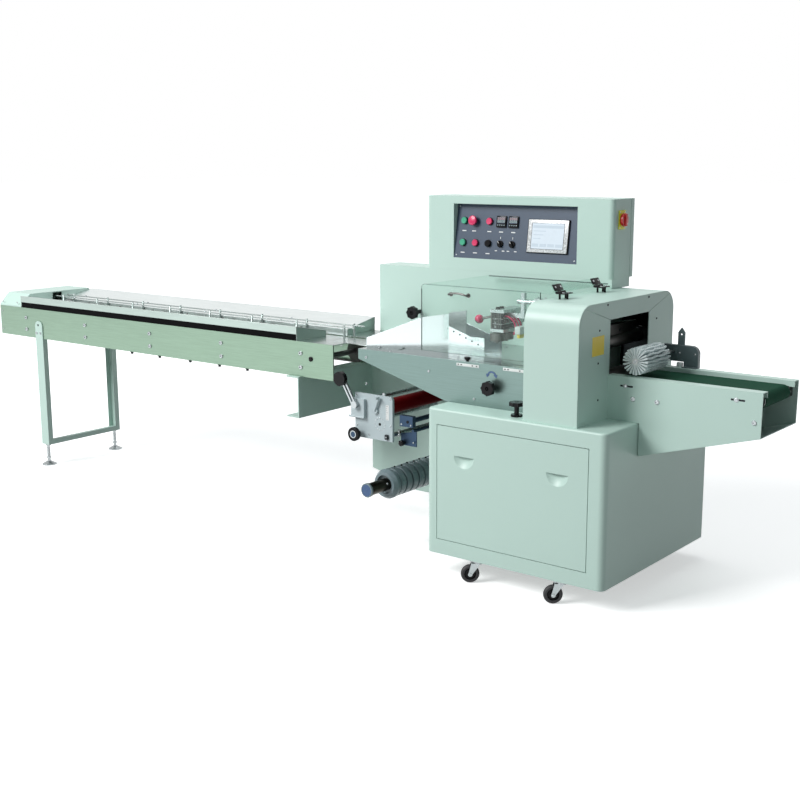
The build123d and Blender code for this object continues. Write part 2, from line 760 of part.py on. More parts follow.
# ---- End sealer ----
def hood_section(inset, x0, x1):
    """Inverted-U section of the hood, drawn across it."""
    body = block(
        x0, x1, HOOD_FRONT + inset, HOOD_BACK - inset, CABINET_TOP - (1 if inset else 0), HOOD_TOP - inset
    )
    top_edges = body.faces().sort_by(Axis.Z)[-1].edges().filter_by(Axis.X)
    return fillet(top_edges, HOOD_CORNER_R - inset)


def sealer_hood():
    shell = hood_section(0, HOOD_LEFT, HOOD_RIGHT - SHEET)
    shell -= hood_section(SHEET, HOOD_LEFT - 1, HOOD_RIGHT)
    entry = hood_section(0, HOOD_LEFT, HOOD_LEFT + SHEET)
    entry -= block(HOOD_LEFT - 1, HOOD_LEFT + SHEET + 1, PORT_FRONT, PORT_BACK, CABINET_TOP - 1, PORT_HIGH)
    entry = entry & hood_section(SHEET, HOOD_LEFT, HOOD_LEFT + SHEET)
    return shell + entry


def hood_side_panels():
    x0 = HOOD_RIGHT - SHEET
    face = hood_section(0, x0, HOOD_RIGHT)
    port = block(x0 - 1, HOOD_RIGHT + 1, PORT_FRONT, PORT_BACK, CABINET_TOP - 1, PORT_HIGH)
    face -= port
    # Mitre joints run from the port's top corners to the hood's top corners.
    for corner, shoulder in ((PORT_FRONT, HOOD_FRONT), (PORT_BACK, HOOD_BACK)):
        run, rise = shoulder - corner, HOOD_TOP - PORT_HIGH
        length = hypot(run, rise)
        cut = Box(2 * SHEET, length * 2, 1.2)
        angle = degrees(atan2(rise, run))
        face -= Pos(HOOD_RIGHT, corner + run / 2, PORT_HIGH + rise / 2) * Rot(angle, 0, 0) * cut
    return group([face])


def bearing_places():
    """Inner faces of the front and rear jaw bearing blocks."""
    front = HOOD_FRONT + BEARING_INSET
    back = HOOD_BACK - BEARING_INSET
    return front, back


def jaw_bearing_blocks():
    front, back = bearing_places()
    half = BEARING_WIDTH / 2
    top = NIP_Z + JAW_OFFSET + BEARING_RIM
    blocks = []
    for y0 in (front - BEARING_THICKNESS, back):
        upright = block(JAW_X - half, JAW_X + half, y0, y0 + BEARING_THICKNESS, CABINET_TOP, top)
        upright = chamfer(upright.faces().sort_by(Axis.Z)[-1].edges().filter_by(Axis.Y), 18)
        for z in (NIP_Z - JAW_OFFSET, NIP_Z + JAW_OFFSET):
            bore = rod_y(y0 - 1, y0 + BEARING_THICKNESS + 1, JAW_X, z, JAW_JOURNAL_R + RUNNING_CLEARANCE)
            upright -= bore
        blocks.append(upright)
    return group(blocks)


def sealing_jaw(z, up):
    """Rotary jaw: a journalled shaft with one crimping bar whose face has long serrations."""
    front, back = bearing_places()
    end = 3.0
    shaft = rod_y(front + end, back - end, JAW_X, z, JAW_HUB_R)
    journal = rod_y(front - BEARING_THICKNESS, back + BEARING_THICKNESS, JAW_X, z, JAW_JOURNAL_R)
    y0, y1 = front + 30, back - 30
    half = JAW_BAR_WIDTH / 2
    reach = (JAW_R**2 - half**2) ** 0.5
    pitch = JAW_BAR_WIDTH / JAW_TEETH
    face = [(-half, 0), (-half, reach - JAW_TOOTH_DEPTH)]
    for i in range(JAW_TEETH):
        x = -half + pitch * i
        face += [(x + pitch / 2, reach), (x + pitch, reach - JAW_TOOTH_DEPTH)]
    face.append((half, 0))
    bar = plate_xz([(JAW_X + x, z + up * r) for x, r in face], y0, y1)
    return union([journal, shaft, bar])


# ---- Wrapping table ----
def front_apron():
    outline = [
        (APRON_LEFT, TABLE_Z),
        (APRON_LEFT, TABLE_Z - APRON_TIP),
        (0, CABINET_TOP),
        (HOOD_LEFT, CABINET_TOP),
        (HOOD_LEFT, TABLE_Z),
    ]
    return plate_xz(outline, APRON_Y, APRON_Y + APRON_SHEET)


def table_plate():
    front = APRON_Y + APRON_SHEET
    plate = block(APRON_LEFT, HOOD_LEFT, front, WALL_Y, TABLE_LOW, TABLE_Z)
    plate += block(INFEED_RIGHT, APRON_LEFT, BRIDGE_FRONT, BRIDGE_BACK, TABLE_LOW, TABLE_Z)
    half = FILM_SLOT_LENGTH / 2
    slot = block(
        FILM_SLOT_X, FILM_SLOT_X + FILM_SLOT_WIDTH, PRODUCT_Y - half, PRODUCT_Y + half, TABLE_LOW - 1, TABLE_Z + 1
    )
    return plate - slot


def former_wings():
    """Two upright sheets that flare towards the infeed and run on as low rails to the seal."""
    flare = degrees(atan2(WING_ENTRY - WING_EXIT, WING_LENGTH))
    length = hypot(WING_LENGTH, WING_ENTRY - WING_EXIT)
    flared = [
        (0, 0),
        (length, 0),
        (length, WING_HIGH),
        (length * 0.68, WING_HIGH - 19),
        (length * 0.29, WING_HIGH * 0.52),
        (0, WING_LOW),
    ]
    start = APRON_LEFT + 4 + WING_LENGTH
    run = [
        (start - WING_SHEET, TABLE_Z),
        (start + WING_RUN, TABLE_Z),
        (start + WING_RUN, TABLE_Z + WING_RAIL),
        (start + WING_FALL, TABLE_Z + WING_RAIL),
        (start - WING_SHEET, TABLE_Z + WING_RUN_HIGH),
    ]
    wings = []
    for side in (-1, 1):
        sheet = plate_xz(flared, -WING_SHEET / 2, WING_SHEET / 2)
        place = Pos(APRON_LEFT + 4, PRODUCT_Y + side * WING_ENTRY, TABLE_Z)
        y = PRODUCT_Y + side * WING_EXIT
        straight = plate_xz(run, y - WING_SHEET / 2, y + WING_SHEET / 2)
        wings.append(place * Rot(0, 0, -side * flare) * sheet + straight)
    return group(wings)


def guard_cover():
    y0, y1 = APRON_Y, APRON_Y + COVER_SHEET
    right = HOOD_LEFT - COVER_SIDE_GAP
    front = block(COVER_LEFT, right, y0, y1, COVER_BOTTOM, COVER_TOP)
    corner = front.edges().filter_by(Axis.Y).group_by(Axis.Z)[-1].sort_by(Axis.X)[0]
    front = fillet(corner, COVER_CORNER_R)
    end = HINGE_X - HINGE_R - COVER_END_GAP
    top = block(COVER_LEFT + COVER_CORNER_R, end, y0, COVER_BACK, COVER_TOP - COVER_SHEET, COVER_TOP)
    pieces = [front, top]
    # Bow handle on the front sheet.
    z = COVER_TOP - HANDLE_DROP
    x0, x1 = COVER_LEFT + HANDLE_X, COVER_LEFT + HANDLE_X + HANDLE_SPAN
    for x in (x0, x1):
        pieces.append(rod_y(y0 - HANDLE_STAND, y0, x, z, HANDLE_R))
    pieces.append(rod_x(x0 - HANDLE_R, x1 + HANDLE_R, y0 - HANDLE_STAND, z, HANDLE_R))
    # The top sheet turns up along the hinges. Moving leaves lean on it and carry the middle knuckles.
    pin_z = hinge_z()
    lean = Pos(HINGE_X, 0, pin_z) * Rot(0, -HINGE_LEAN, 0)
    y0, y1 = HINGE_PLACES[0] - HINGE_LENGTH / 2, HINGE_PLACES[-1] + HINGE_LENGTH / 2
    back = -HINGE_LEAF - 1
    pieces.append(lean * block(back - COVER_SHEET, back, y0, y1, HINGE_LEAF, HINGE_LEAF_LENGTH))
    for y in HINGE_PLACES:
        near, far = y - HINGE_LENGTH / 6 + 0.5, y + HINGE_LENGTH / 6 - 0.5
        leaf_y0, leaf_y1 = y - HINGE_LENGTH / 2, y + HINGE_LENGTH / 2
        pieces.append(lean * block(back, -1, leaf_y0, leaf_y1, HINGE_NOTCH, HINGE_LEAF_LENGTH))
        pieces.append(lean * block(back, -1, near, far, 0, HINGE_NOTCH))
        pieces.append(rod_y(near, far, HINGE_X, pin_z, HINGE_R))
    cover = union(pieces)
    for y in HINGE_PLACES:
        bore = rod_y(y - HINGE_LENGTH / 6, y + HINGE_LENGTH / 6, HINGE_X, pin_z, HINGE_PIN_R + RUNNING_CLEARANCE)
        cover -= bore
    return cover


def hinge_z():
    """Height of the cover's hinge pin."""
    return COVER_TOP + HINGE_LEAF - HINGE_R


def cover_hinges():
    """Fixed leaves on short posts above the hood, with the outer knuckles and the pins."""
    pin_z = hinge_z()
    hinges = []
    for y in HINGE_PLACES:
        y0, y1, third = y - HINGE_LENGTH / 2, y + HINGE_LENGTH / 2, HINGE_LENGTH / 6
        low = pin_z - HINGE_R
        leaf = block(HINGE_X, HINGE_X + HINGE_LEAF_LENGTH, y0, y1, low, low + HINGE_LEAF)
        leaf -= block(HINGE_X - 1, HINGE_X + HINGE_NOTCH, y - third, y + third, low - 1, low + HINGE_LEAF + 1)
        pieces = [leaf, rod_y(y0, y1, HINGE_X, pin_z, HINGE_PIN_R)]
        for a, b in ((y0, y - third), (y + third, y1)):
            pieces.append(rod_y(a, b, HINGE_X, pin_z, HINGE_R))
        x = HINGE_X + HINGE_POST_INSET
        for px, py in ((x, y0 + HINGE_POST_INSET), (x, y1 - HINGE_POST_INSET), (x + HINGE_LENGTH / 3, y)):
            pieces.append(rod_z(HOOD_TOP, low + 1, px, py, HINGE_POST_R))
        hinges.append(union(pieces))
    return group(hinges)


# ---- Centre seal ----
def seal_wheel_y(side):
    return PRODUCT_Y + side * (SEAL_WHEEL_R + SEAL_NIP / 2)


def centre_seal_unit():
    x0, x1 = SEAL_PLATE_LEFT, SEAL_PLATE_LEFT + SEAL_PLATE_LENGTH
    y0, y1 = SEAL_PLATE_FRONT, SEAL_PLATE_BACK
    low = SEAL_BLOCK_LOW + SEAL_PLATE
    high = low + SEAL_BLOCK_HEIGHT
    pieces = [block(x0, x1, y0, y1, SEAL_BLOCK_LOW, low), block(x0, x1, y0, y1, high, high + SEAL_PLATE)]
    pieces.append(block(SEAL_BLOCK_LEFT, SEAL_BLOCK_RIGHT, y0, SEAL_BLOCK_BACK, low, high))
    gear = SEAL_BLOCK_BACK + SEAL_GEAR_GAP
    pieces.append(block(SEAL_BLOCK_LEFT, SEAL_BLOCK_RIGHT, gear, y1, low, high))
    # The arm reaches back to the rear frame.
    arm_x, arm_z = (x0 + x1) / 2, (low + high) / 2
    half, tall = SEAL_ARM_LENGTH / 2, SEAL_ARM_HEIGHT / 2
    pieces.append(block(arm_x - half, arm_x + half, gear, WALL_Y, arm_z - tall, arm_z + tall))
    # A beam from the hood holds the unit's upper plate by a post.
    half = BEAM_POST / 2
    post_x0, post_x1 = BEAM_POST_X - half, BEAM_POST_X + half
    pieces.append(block(SEAL_BLOCK_RIGHT, post_x1, PRODUCT_Y - half, PRODUCT_Y + half, BEAM_POST_LOW, high))
    pieces.append(block(post_x0, post_x1, PRODUCT_Y - half, PRODUCT_Y + half, BEAM_POST_LOW, BEAM_POST_HIGH))
    pieces.append(rod_x(post_x0 - 2 * BEAM_R, HOOD_LEFT, PRODUCT_Y, BEAM_Z, BEAM_R))
    for a, b in BEAM_CLAMPS:
        pieces.append(rod_x(a, b, PRODUCT_Y, BEAM_Z, BEAM_CLAMP_R))
    # Lugs on the left face carry the lever's pin.
    x, y, z = lever_pivot()
    near, far = LEVER_EYE_WIDTH / 2 + 1, LEVER_EYE_WIDTH / 2 + 1 + LEVER_LUG
    for a, b in ((y - far, y - near), (y + near, y + far)):
        pieces.append(block(x - LEVER_EYE_R, SEAL_BLOCK_LEFT, a, b, z - LEVER_EYE_R, z + LEVER_EYE_R))
    pieces.append(rod_y(y - far, y + far, x, z, LEVER_PIN_R))
    unit = union(pieces)
    for side in (-1, 1):
        unit -= rod_z(SEAL_BLOCK_LOW - 1, arm_z, SEAL_X, seal_wheel_y(side), SEAL_SHAFT_R + RUNNING_CLEARANCE)
    return unit


def lever_pivot():
    return LEVER_X, PRODUCT_Y, LEVER_Z


def seal_lever():
    """Lever that lifts the seal wheels off the film."""
    angle = degrees(atan2(LEVER_RISE, LEVER_LENGTH))
    length = hypot(LEVER_LENGTH, LEVER_RISE)
    half = LEVER_EYE_WIDTH / 2
    eye = rod_y(-half, half, 0, 0, LEVER_EYE_R)
    rod = rod_x(-length, -LEVER_ROD_R, 0, 0, LEVER_ROD_R)
    ball = Pos(-length, 0, 0) * Sphere(LEVER_BALL_R)
    bore = rod_y(-half - 1, half + 1, 0, 0, LEVER_PIN_R + RUNNING_CLEARANCE)
    return Pos(*lever_pivot()) * Rot(0, -angle, 0) * (eye + rod + ball - bore)


def seal_wheel(side):
    y = seal_wheel_y(side)
    top = SEAL_WHEEL_Z + SEAL_WHEEL_THICKNESS
    disc = rod_z(SEAL_WHEEL_Z, top, SEAL_X, y, SEAL_WHEEL_R)
    disc = chamfer(disc.edges().filter_by(GeomType.CIRCLE), 1.5)
    hub = rod_z(top, SEAL_BLOCK_LOW - 2, SEAL_X, y, SEAL_HUB_R)
    shaft_top = SEAL_BLOCK_LOW + SEAL_PLATE + SEAL_BLOCK_HEIGHT / 2 - 4
    shaft = rod_z(SEAL_WHEEL_Z - 8, shaft_top, SEAL_X, y, SEAL_SHAFT_R)
    return union([disc, hub, shaft])


# ---- Hand knobs ----
def facing_front(x, y, z):
    """Place whose local +Z points to the operator."""
    return Plane(origin=(x, y, z), x_dir=(1, 0, 0), z_dir=(0, -1, 0)).location


def apron_knob():
    return lobed_knob(facing_front(APRON_KNOB_X, APRON_Y, TABLE_Z - APRON_KNOB_DROP), KNOB_STANDOFF)


def wall_knob():
    return lobed_knob(facing_front(WALL_KNOB_X, WALL_Y, WALL_KNOB_Z), WALL_KNOB_STANDOFF)


def clamp_knob():
    place = Pos(CLAMP_KNOB_X, CLAMP_KNOB_Y, CABINET_TOP)
    foot = Pos(0, 0, CLAMP_FOOT_HEIGHT / 2) * Cylinder(CLAMP_FOOT_R, CLAMP_FOOT_HEIGHT)
    return lobed_knob(place, CLAMP_KNOB_STANDOFF, KNOB_THICKNESS * 0.8) + place * foot


# ---- Infeed ----
def infeed_side_plates():
    plates = []
    inner_front = INFEED_FRONT + INFEED_SHEET
    inner_back = INFEED_BACK - INFEED_SHEET
    for y0, y1, flange0, flange1 in (
        (INFEED_FRONT, inner_front, inner_front, inner_front + 25),
        (inner_back, INFEED_BACK, inner_back - 25, inner_back),
    ):
        web = block(INFEED_LEFT, INFEED_RIGHT, y0, y1, INFEED_LOW, TABLE_Z)
        flange = block(INFEED_LEFT, INFEED_RIGHT, flange0, flange1, INFEED_LOW, INFEED_LOW + 4)
        plates.append(web + flange)
    return group(plates)


def infeed_deck():
    y0, y1 = INFEED_FRONT + INFEED_SHEET, INFEED_BACK - INFEED_SHEET
    half = CHAIN_SLOT / 2
    decks = []
    for a, b in ((y0, PRODUCT_Y - half), (PRODUCT_Y + half, y1)):
        decks.append(block(INFEED_LEFT, INFEED_RIGHT, a, b, TABLE_Z - DECK_SHEET, TABLE_Z))
    return group(decks)


def infeed_trays():
    """Sloping side trays: an outer lip, a sheet that falls towards the chain and an inner foot."""
    s = SHEET
    high, low = TABLE_Z + TRAY_HEIGHT, TABLE_Z + TRAY_LOW
    slope = (TRAY_HEIGHT - TRAY_LOW) / TRAY_INNER
    section = [
        (0, high - TRAY_LIP),
        (s, high - TRAY_LIP),
        (s, high - s),
        (TRAY_INNER - s, low - s),
        (TRAY_INNER - s, TABLE_Z),
        (TRAY_INNER, TABLE_Z),
        (TRAY_INNER, low),
        (0, high),
    ]
    trays = []
    for edge, inward, right in ((INFEED_FRONT, 1, TRAY_RIGHT), (INFEED_BACK, -1, TRAY_BACK_RIGHT)):
        tray = plate_yz([(edge + inward * y, z) for y, z in section], TRAY_LEFT, right)
        pitch = (right - TRAY_LEFT - 80) / (TRAY_SUPPORTS - 1)
        feet = []
        for i in range(TRAY_SUPPORTS):
            x = TRAY_LEFT + 40 + pitch * i
            near, far = INFEED_SHEET, INFEED_SHEET + 16
            foot = [(near, TABLE_Z), (far, TABLE_Z), (far, high - slope * far - 1), (near, high - slope * near - 1)]
            feet.append(plate_yz([(edge + inward * y, z) for y, z in foot], x - 10, x + 10))
        trays.append(union([tray] + feet))
    return group(trays)


def infeed_guides():
    """Two guide rods beside the product lane, each on a row of posts."""
    rows = []
    z = TABLE_Z + GUIDE_HEIGHT
    inset = 60.0
    pitch = (GUIDE_RIGHT - GUIDE_LEFT - 2 * inset) / (GUIDE_POSTS - 1)
    for side in (-1, 1):
        y = PRODUCT_Y + side * GUIDE_HALF_GAP
        pieces = [rod_x(GUIDE_LEFT, GUIDE_RIGHT, y, z, GUIDE_ROD_R)]
        for i in range(GUIDE_POSTS):
            x = GUIDE_LEFT + inset + pitch * i
            pieces.append(rod_z(TABLE_Z, z + 8, x, y, GUIDE_POST_R))
        rows.append(union(pieces))
    return group(rows)


def chain_ends():
    """Centres (x, z) of the chain's end turns."""
    z = TABLE_Z - CHAIN_DROP - CHAIN_R
    return INFEED_LEFT + CHAIN_END, INFEED_RIGHT - CHAIN_END, z


def pusher_chain():
    x0, x1, z = chain_ends()
    outer = SlotCenterToCenter(x1 - x0, 2 * CHAIN_R)
    inner = SlotCenterToCenter(x1 - x0, 2 * (CHAIN_R - CHAIN_THICKNESS))
    place = facing_front((x0 + x1) / 2, PRODUCT_Y + CHAIN_WIDTH / 2, z)
    loop = place * extrude(outer - inner, CHAIN_WIDTH)
    pieces = [loop]
    y0, y1 = PRODUCT_Y - CHAIN_WIDTH / 2, PRODUCT_Y + CHAIN_WIDTH / 2
    count = int((x1 - x0) // PUSHER_PITCH)
    for i in range(count):
        x = x0 + PUSHER_PITCH * (i + 0.5)
        high = z + CHAIN_R
        pieces.append(block(x, x + PUSHER_THICKNESS, y0, y1, high - 2, high + PUSHER_HEIGHT))
        low = z - CHAIN_R
        pieces.append(block(x, x + PUSHER_THICKNESS, y0, y1, low - PUSHER_HEIGHT, low + 2))
    return union(pieces)


def infeed_shafts():
    x0, x1, z = chain_ends()
    shafts = []
    for x in (x0, x1):
        axle = rod_y(INFEED_FRONT + INFEED_SHEET, INFEED_BACK - INFEED_SHEET, x, z, INFEED_SHAFT_R)
        half = SPROCKET_WIDTH / 2
        disc = rod_y(PRODUCT_Y - half, PRODUCT_Y + half, x, z, CHAIN_R - CHAIN_THICKNESS)
        shafts.append(axle + disc)
    return group(shafts)


def infeed_end_cover():
    """Sheet-metal house over the chain's left turn, open below, with a window for the lane."""
    def section(inset):
        y0, y1 = INFEED_FRONT + inset, INFEED_BACK - inset
        top, c = TABLE_Z + COVER_HOUSE_HEIGHT - inset, COVER_HOUSE_CHAMFER
        base = TABLE_Z - (1 if inset else 0)
        return [
            (y0, base),
            (y0, TABLE_Z + 6),
            (y0 + 2 * c - 2, top - c + 4),
            (y0 + 3 * c - 2, top),
            (y1 - c, top),
            (y1, top - 2 * c),
            (y1, base),
        ]

    s = COVER_HOUSE_SHEET
    x1 = TRAY_LEFT - HOUSE_GAP
    house = plate_yz(section(0), INFEED_LEFT, x1)
    house -= plate_yz(section(s), INFEED_LEFT + s, x1 - s)
    half = HOUSE_WINDOW_WIDTH / 2
    window = block(
        x1 - 2 * s,
        x1 + 1,
        PRODUCT_Y - half,
        PRODUCT_Y + half,
        TABLE_Z - 1,
        TABLE_Z + HOUSE_WINDOW_HEIGHT,
    )
    return house - window


def infeed_legs():
    """Two channel posts open to the inside, each with a tab outside the side plate, and a crossbar."""
    x0, x1 = LEG_LEFT, LEG_LEFT + LEG_WIDTH
    s = LEG_SHEET
    pieces = []
    for outer, inward in ((INFEED_FRONT - LEG_TAB, 1), (INFEED_BACK + LEG_TAB, -1)):
        y0, y1 = sorted((outer, outer + inward * LEG_DEPTH))
        post = block(x0, x1, y0, y1, LEG_BOTTOM, INFEED_LOW)
        y0, y1 = sorted((outer + inward * LEG_TAB, outer + inward * (LEG_DEPTH + 1)))
        post -= block(x0 + s, x1 - s, y0, y1, LEG_BOTTOM + s, INFEED_LOW + 1)
        y0, y1 = sorted((outer, outer + inward * LEG_TAB))
        tab = block(x0, x1, y0, y1, INFEED_LOW, LEG_TOP)
        top = tab.edges().filter_by(Axis.Y).group_by(Axis.Z)[-1]
        pieces += [post, fillet(top, LEG_WIDTH / 2 - s)]
    y0, y1 = INFEED_FRONT, INFEED_BACK
    pieces.append(block(x1 - CROSSBAR, x1, y0, y1, LEG_BOTTOM, LEG_BOTTOM + CROSSBAR))
    return union(pieces)


def foot_places():
    x = LEG_LEFT + LEG_WIDTH / 2
    return ((x, INFEED_FRONT - LEG_TAB + FOOT_INSET), (x, INFEED_BACK + LEG_TAB - FOOT_INSET))


def levelling_feet():
    feet = []
    for x, y in foot_places():
        dome = FOOT_HEIGHT - FOOT_RIM
        pieces = [rod_z(0, FOOT_RIM, x, y, FOOT_R)]
        pieces.append(Pos(x, y, FOOT_RIM + dome / 2) * Cone(FOOT_R, FOOT_NUT_R, dome))
        pieces.append(rod_z(FOOT_HEIGHT, LEG_BOTTOM, x, y, FOOT_STUD_R))
        pieces.append(extrude(Pos(x, y, LEG_BOTTOM - FOOT_NUT) * RegularPolygon(FOOT_NUT_R, 6), FOOT_NUT))
        feet.append(union(pieces))
    return group(feet)


# ---- Film unit ----
def film_unit_plate():
    x0, x1, low, high = FILM_PLATE_LEFT, FILM_PLATE_RIGHT, FILM_PLATE_LOW, FILM_PLATE_HIGH
    c = FILM_CORNER
    outline = [(x0, high), (x1 - c / 3, high), (x1, high - c / 2), (x1, low), (x0 + c, low), (x0, low + c)]
    y0, y1 = FILM_PLATE_Y, FILM_PLATE_Y + FILM_PLATE_THICKNESS
    pieces = [plate_xz(outline, y0, y1)]
    # The side block stands proud of the plate and carries the tee pin and the nip lever.
    x0, x1, front = FILM_BLOCK_LEFT, FILM_BLOCK_RIGHT, FILM_BLOCK_FRONT
    pieces.append(block(x0, x1, front, y1, FILM_BLOCK_LOW, FILM_BLOCK_HIGH))
    pieces.append(rod_x(x0 - TEE_PIN_REACH, x1, front + 1, FILM_BLOCK_LOW, TEE_PIN_R))
    # A leaning bar handle on a round base.
    base_y = y0 - HANDLE_BASE
    pieces.append(rod_y(base_y, y0, HANDLE_BASE_X, HANDLE_BASE_Z, HANDLE_BASE_R))
    run, rise = HANDLE_TIP_X - HANDLE_BASE_X, HANDLE_TIP_Z - HANDLE_BASE_Z
    bar = rod_x(0, hypot(run, rise), 0, 0, HANDLE_BAR_R)
    pieces.append(Pos(HANDLE_BASE_X, base_y, HANDLE_BASE_Z) * Rot(0, -degrees(atan2(rise, run)), 0) * bar)
    pieces.append(rod_y(base_y - HANDLE_GRIP, base_y, HANDLE_TIP_X, HANDLE_TIP_Z, HANDLE_BAR_R))
    return union(pieces)


def film_cross_rods():
    y0 = FILM_PLATE_Y + FILM_PLATE_THICKNESS
    rods = [rod_y(y0, WALL_Y, x, z, CROSS_ROD_R) for x, z in CROSS_RODS]
    rods.append(rod_y(y0, WALL_Y, RUBBER_X, RUBBER_Z, RUBBER_AXLE_R))
    return group(rods)


def rubber_roller():
    y0 = FILM_PLATE_Y + FILM_PLATE_THICKNESS + RUBBER_END_GAP
    y1 = WALL_Y - RUBBER_END_GAP
    bore = rod_y(y0 - 1, y1 + 1, RUBBER_X, RUBBER_Z, RUBBER_AXLE_R + RUNNING_CLEARANCE)
    return rod_y(y0, y1, RUBBER_X, RUBBER_Z, RUBBER_R) - bore


def nip_lever():
    """Two-bar lever on the side block, with a round knob near its tip."""
    y1 = FILM_BLOCK_FRONT
    y0 = y1 - NIP_BOSS
    bar_y1 = y0 + NIP_LEVER_THICKNESS
    length, half = NIP_LEVER_LENGTH, NIP_BAR_OFFSET + NIP_BAR / 2
    pieces = [rod_y(y0, y1, 0, 0, NIP_BOSS_R)]
    for offset in (-NIP_BAR_OFFSET, NIP_BAR_OFFSET):
        pieces.append(block(0, length, y0, bar_y1, offset - NIP_BAR / 2, offset + NIP_BAR / 2))
    pieces.append(block(length - NIP_BRIDGE, length, y0, bar_y1, -half, half))
    knob = rod_y(y0 - NIP_KNOB, bar_y1, NIP_KNOB_PLACE, 0, NIP_KNOB_R / 3)
    knob += fillet(rod_y(y0 - NIP_KNOB, y0, NIP_KNOB_PLACE, 0, NIP_KNOB_R).edges(), 3)
    pieces.append(knob)
    return Pos(NIP_LEVER_X, 0, NIP_LEVER_Z) * Rot(0, -NIP_LEVER_LEAN, 0) * union(pieces)


def tension_knob():
    place = facing_front(TENSION_X, FILM_PLATE_Y, TENSION_Z)
    stem = Pos(0, 0, TENSION_STEM / 2) * Cylinder(TENSION_STEM_R, TENSION_STEM)
    head = Pos(0, 0, TENSION_STEM + TENSION_HEAD / 2) * Cylinder(TENSION_R, TENSION_HEAD)
    head = fillet(head.edges().filter_by(GeomType.CIRCLE), 3)
    return place * (stem + head)


def sensor_block():
    """Clamp block and hanging plate, each on a rod from the rear frame."""
    back = SENSOR_FRONT + SENSOR_DEPTH
    high = SENSOR_LOW + SENSOR_HEIGHT
    clamp = block(SENSOR_LEFT, SENSOR_LEFT + SENSOR_WIDTH, SENSOR_FRONT, back, SENSOR_LOW, high)
    first = rod_y(back, WALL_Y, SENSOR_ROD_X, SENSOR_ROD_Z, SENSOR_ROD_R)
    x0, x1, low, high = HANGER_LEFT, HANGER_LEFT + HANGER_WIDTH, HANGER_LOW, HANGER_HIGH
    outline = [(x0, low), (x1, low), (x1, high), (x0, high - HANGER_SLOPE)]
    back = HANGER_FRONT + HANGER_SHEET
    hanger = plate_xz(outline, HANGER_FRONT, back)
    second = rod_y(HANGER_FRONT, WALL_Y, HANGER_ROD_X, HANGER_ROD_Z, HANGER_ROD_R)
    return group([clamp + first, second + hanger])


def reel_shaft():
    y1 = WALL_Y - REEL_END_GAP
    shaft = rod_y(REEL_FRONT + REEL_CAP, y1, REEL_X, REEL_Z, REEL_SHAFT_R)
    cap = rod_y(REEL_FRONT, REEL_FRONT + REEL_CAP, REEL_X, REEL_Z, REEL_CAP_R)
    return shaft + chamfer(cap.edges().group_by(Axis.Y)[0], 3)


def reel_rings():
    """A coned collar in front, then like rings, all on the shaft."""
    start = REEL_RINGS_START
    back = start - REEL_RING_GAP
    front = back - REEL_COLLAR
    # Rot(90) lets the cone's wide end face the rings.
    middle = front + REEL_COLLAR_CONE / 2
    cone = Pos(REEL_X, middle, REEL_Z) * Rot(90, 0, 0) * Cone(REEL_COLLAR_R, REEL_COLLAR_NOSE_R, REEL_COLLAR_CONE)
    collar = cone + rod_y(front + REEL_COLLAR_CONE, back, REEL_X, REEL_Z, REEL_COLLAR_R)
    collar -= rod_y(front - 1, front + REEL_COLLAR_HOLE, REEL_X, REEL_Z, REEL_COLLAR_HOLE_R)
    collar -= rod_y(front - 1, back + 1, REEL_X, REEL_Z, REEL_SHAFT_R)
    rings = [collar]
    for i in range(REEL_RINGS):
        y0 = start + i * (REEL_RING_WIDTH + REEL_RING_GAP)
        ring = rod_y(y0, y0 + REEL_RING_WIDTH, REEL_X, REEL_Z, REEL_RING_R)
        ring = fillet(ring.edges(), 3)
        rings.append(ring - rod_y(y0 - 1, y0 + REEL_RING_WIDTH + 1, REEL_X, REEL_Z, REEL_SHAFT_R))
    return group(rings)


# ---- Outfeed ----
def outfeed_frame():
    """Side plates joined by a sloping bottom sheet."""
    hang = CABINET_WIDTH + OUTFEED_HANG_GAP
    top = OUTFEED_TOP
    outline = [
        (HOOD_RIGHT, top),
        (OUTFEED_END, top),
        (OUTFEED_END - 2, top - OUTFEED_END_DROP),
        (hang, top - OUTFEED_DROP),
        (hang, CABINET_TOP),
        (HOOD_RIGHT, CABINET_TOP),
    ]
    s = OUTFEED_SHEET
    front = plate_xz(outline, OUTFEED_FRONT, OUTFEED_FRONT + s)
    front += block(HOOD_RIGHT, OUTFEED_END, OUTFEED_FRONT, OUTFEED_FRONT + OUTFEED_FLANGE, top - s, top)
    back = plate_xz(outline, OUTFEED_BACK - s, OUTFEED_BACK)
    back += block(HOOD_RIGHT, OUTFEED_END, OUTFEED_BACK - OUTFEED_FLANGE, OUTFEED_BACK, top - s, top)
    inner = OUTFEED_FRONT + OUTFEED_FLANGE
    front += block(HOOD_RIGHT, OUTFEED_END, inner - s, inner, top - OUTFEED_LIP, top)
    inner = OUTFEED_BACK - OUTFEED_FLANGE
    back += block(HOOD_RIGHT, OUTFEED_END, inner, inner + s, top - OUTFEED_LIP, top)
    low, high = top - OUTFEED_DROP, top - OUTFEED_END_DROP
    section = [(hang, low), (OUTFEED_END - 2, high), (OUTFEED_END - 2, high + s), (hang, low + s)]
    bottom = plate_xz(section, OUTFEED_FRONT, OUTFEED_BACK)
    return union([front, back, bottom])


def outfeed_ends():
    """Centres (x, z) of the outfeed belt's rollers."""
    r = OUTFEED_ROLLER_R
    z = OUTFEED_BELT_TOP - OUTFEED_BELT_SHEET - r
    return HOOD_RIGHT + OUTFEED_ROLLER_INSET, OUTFEED_END - OUTFEED_ROLLER_INSET, z


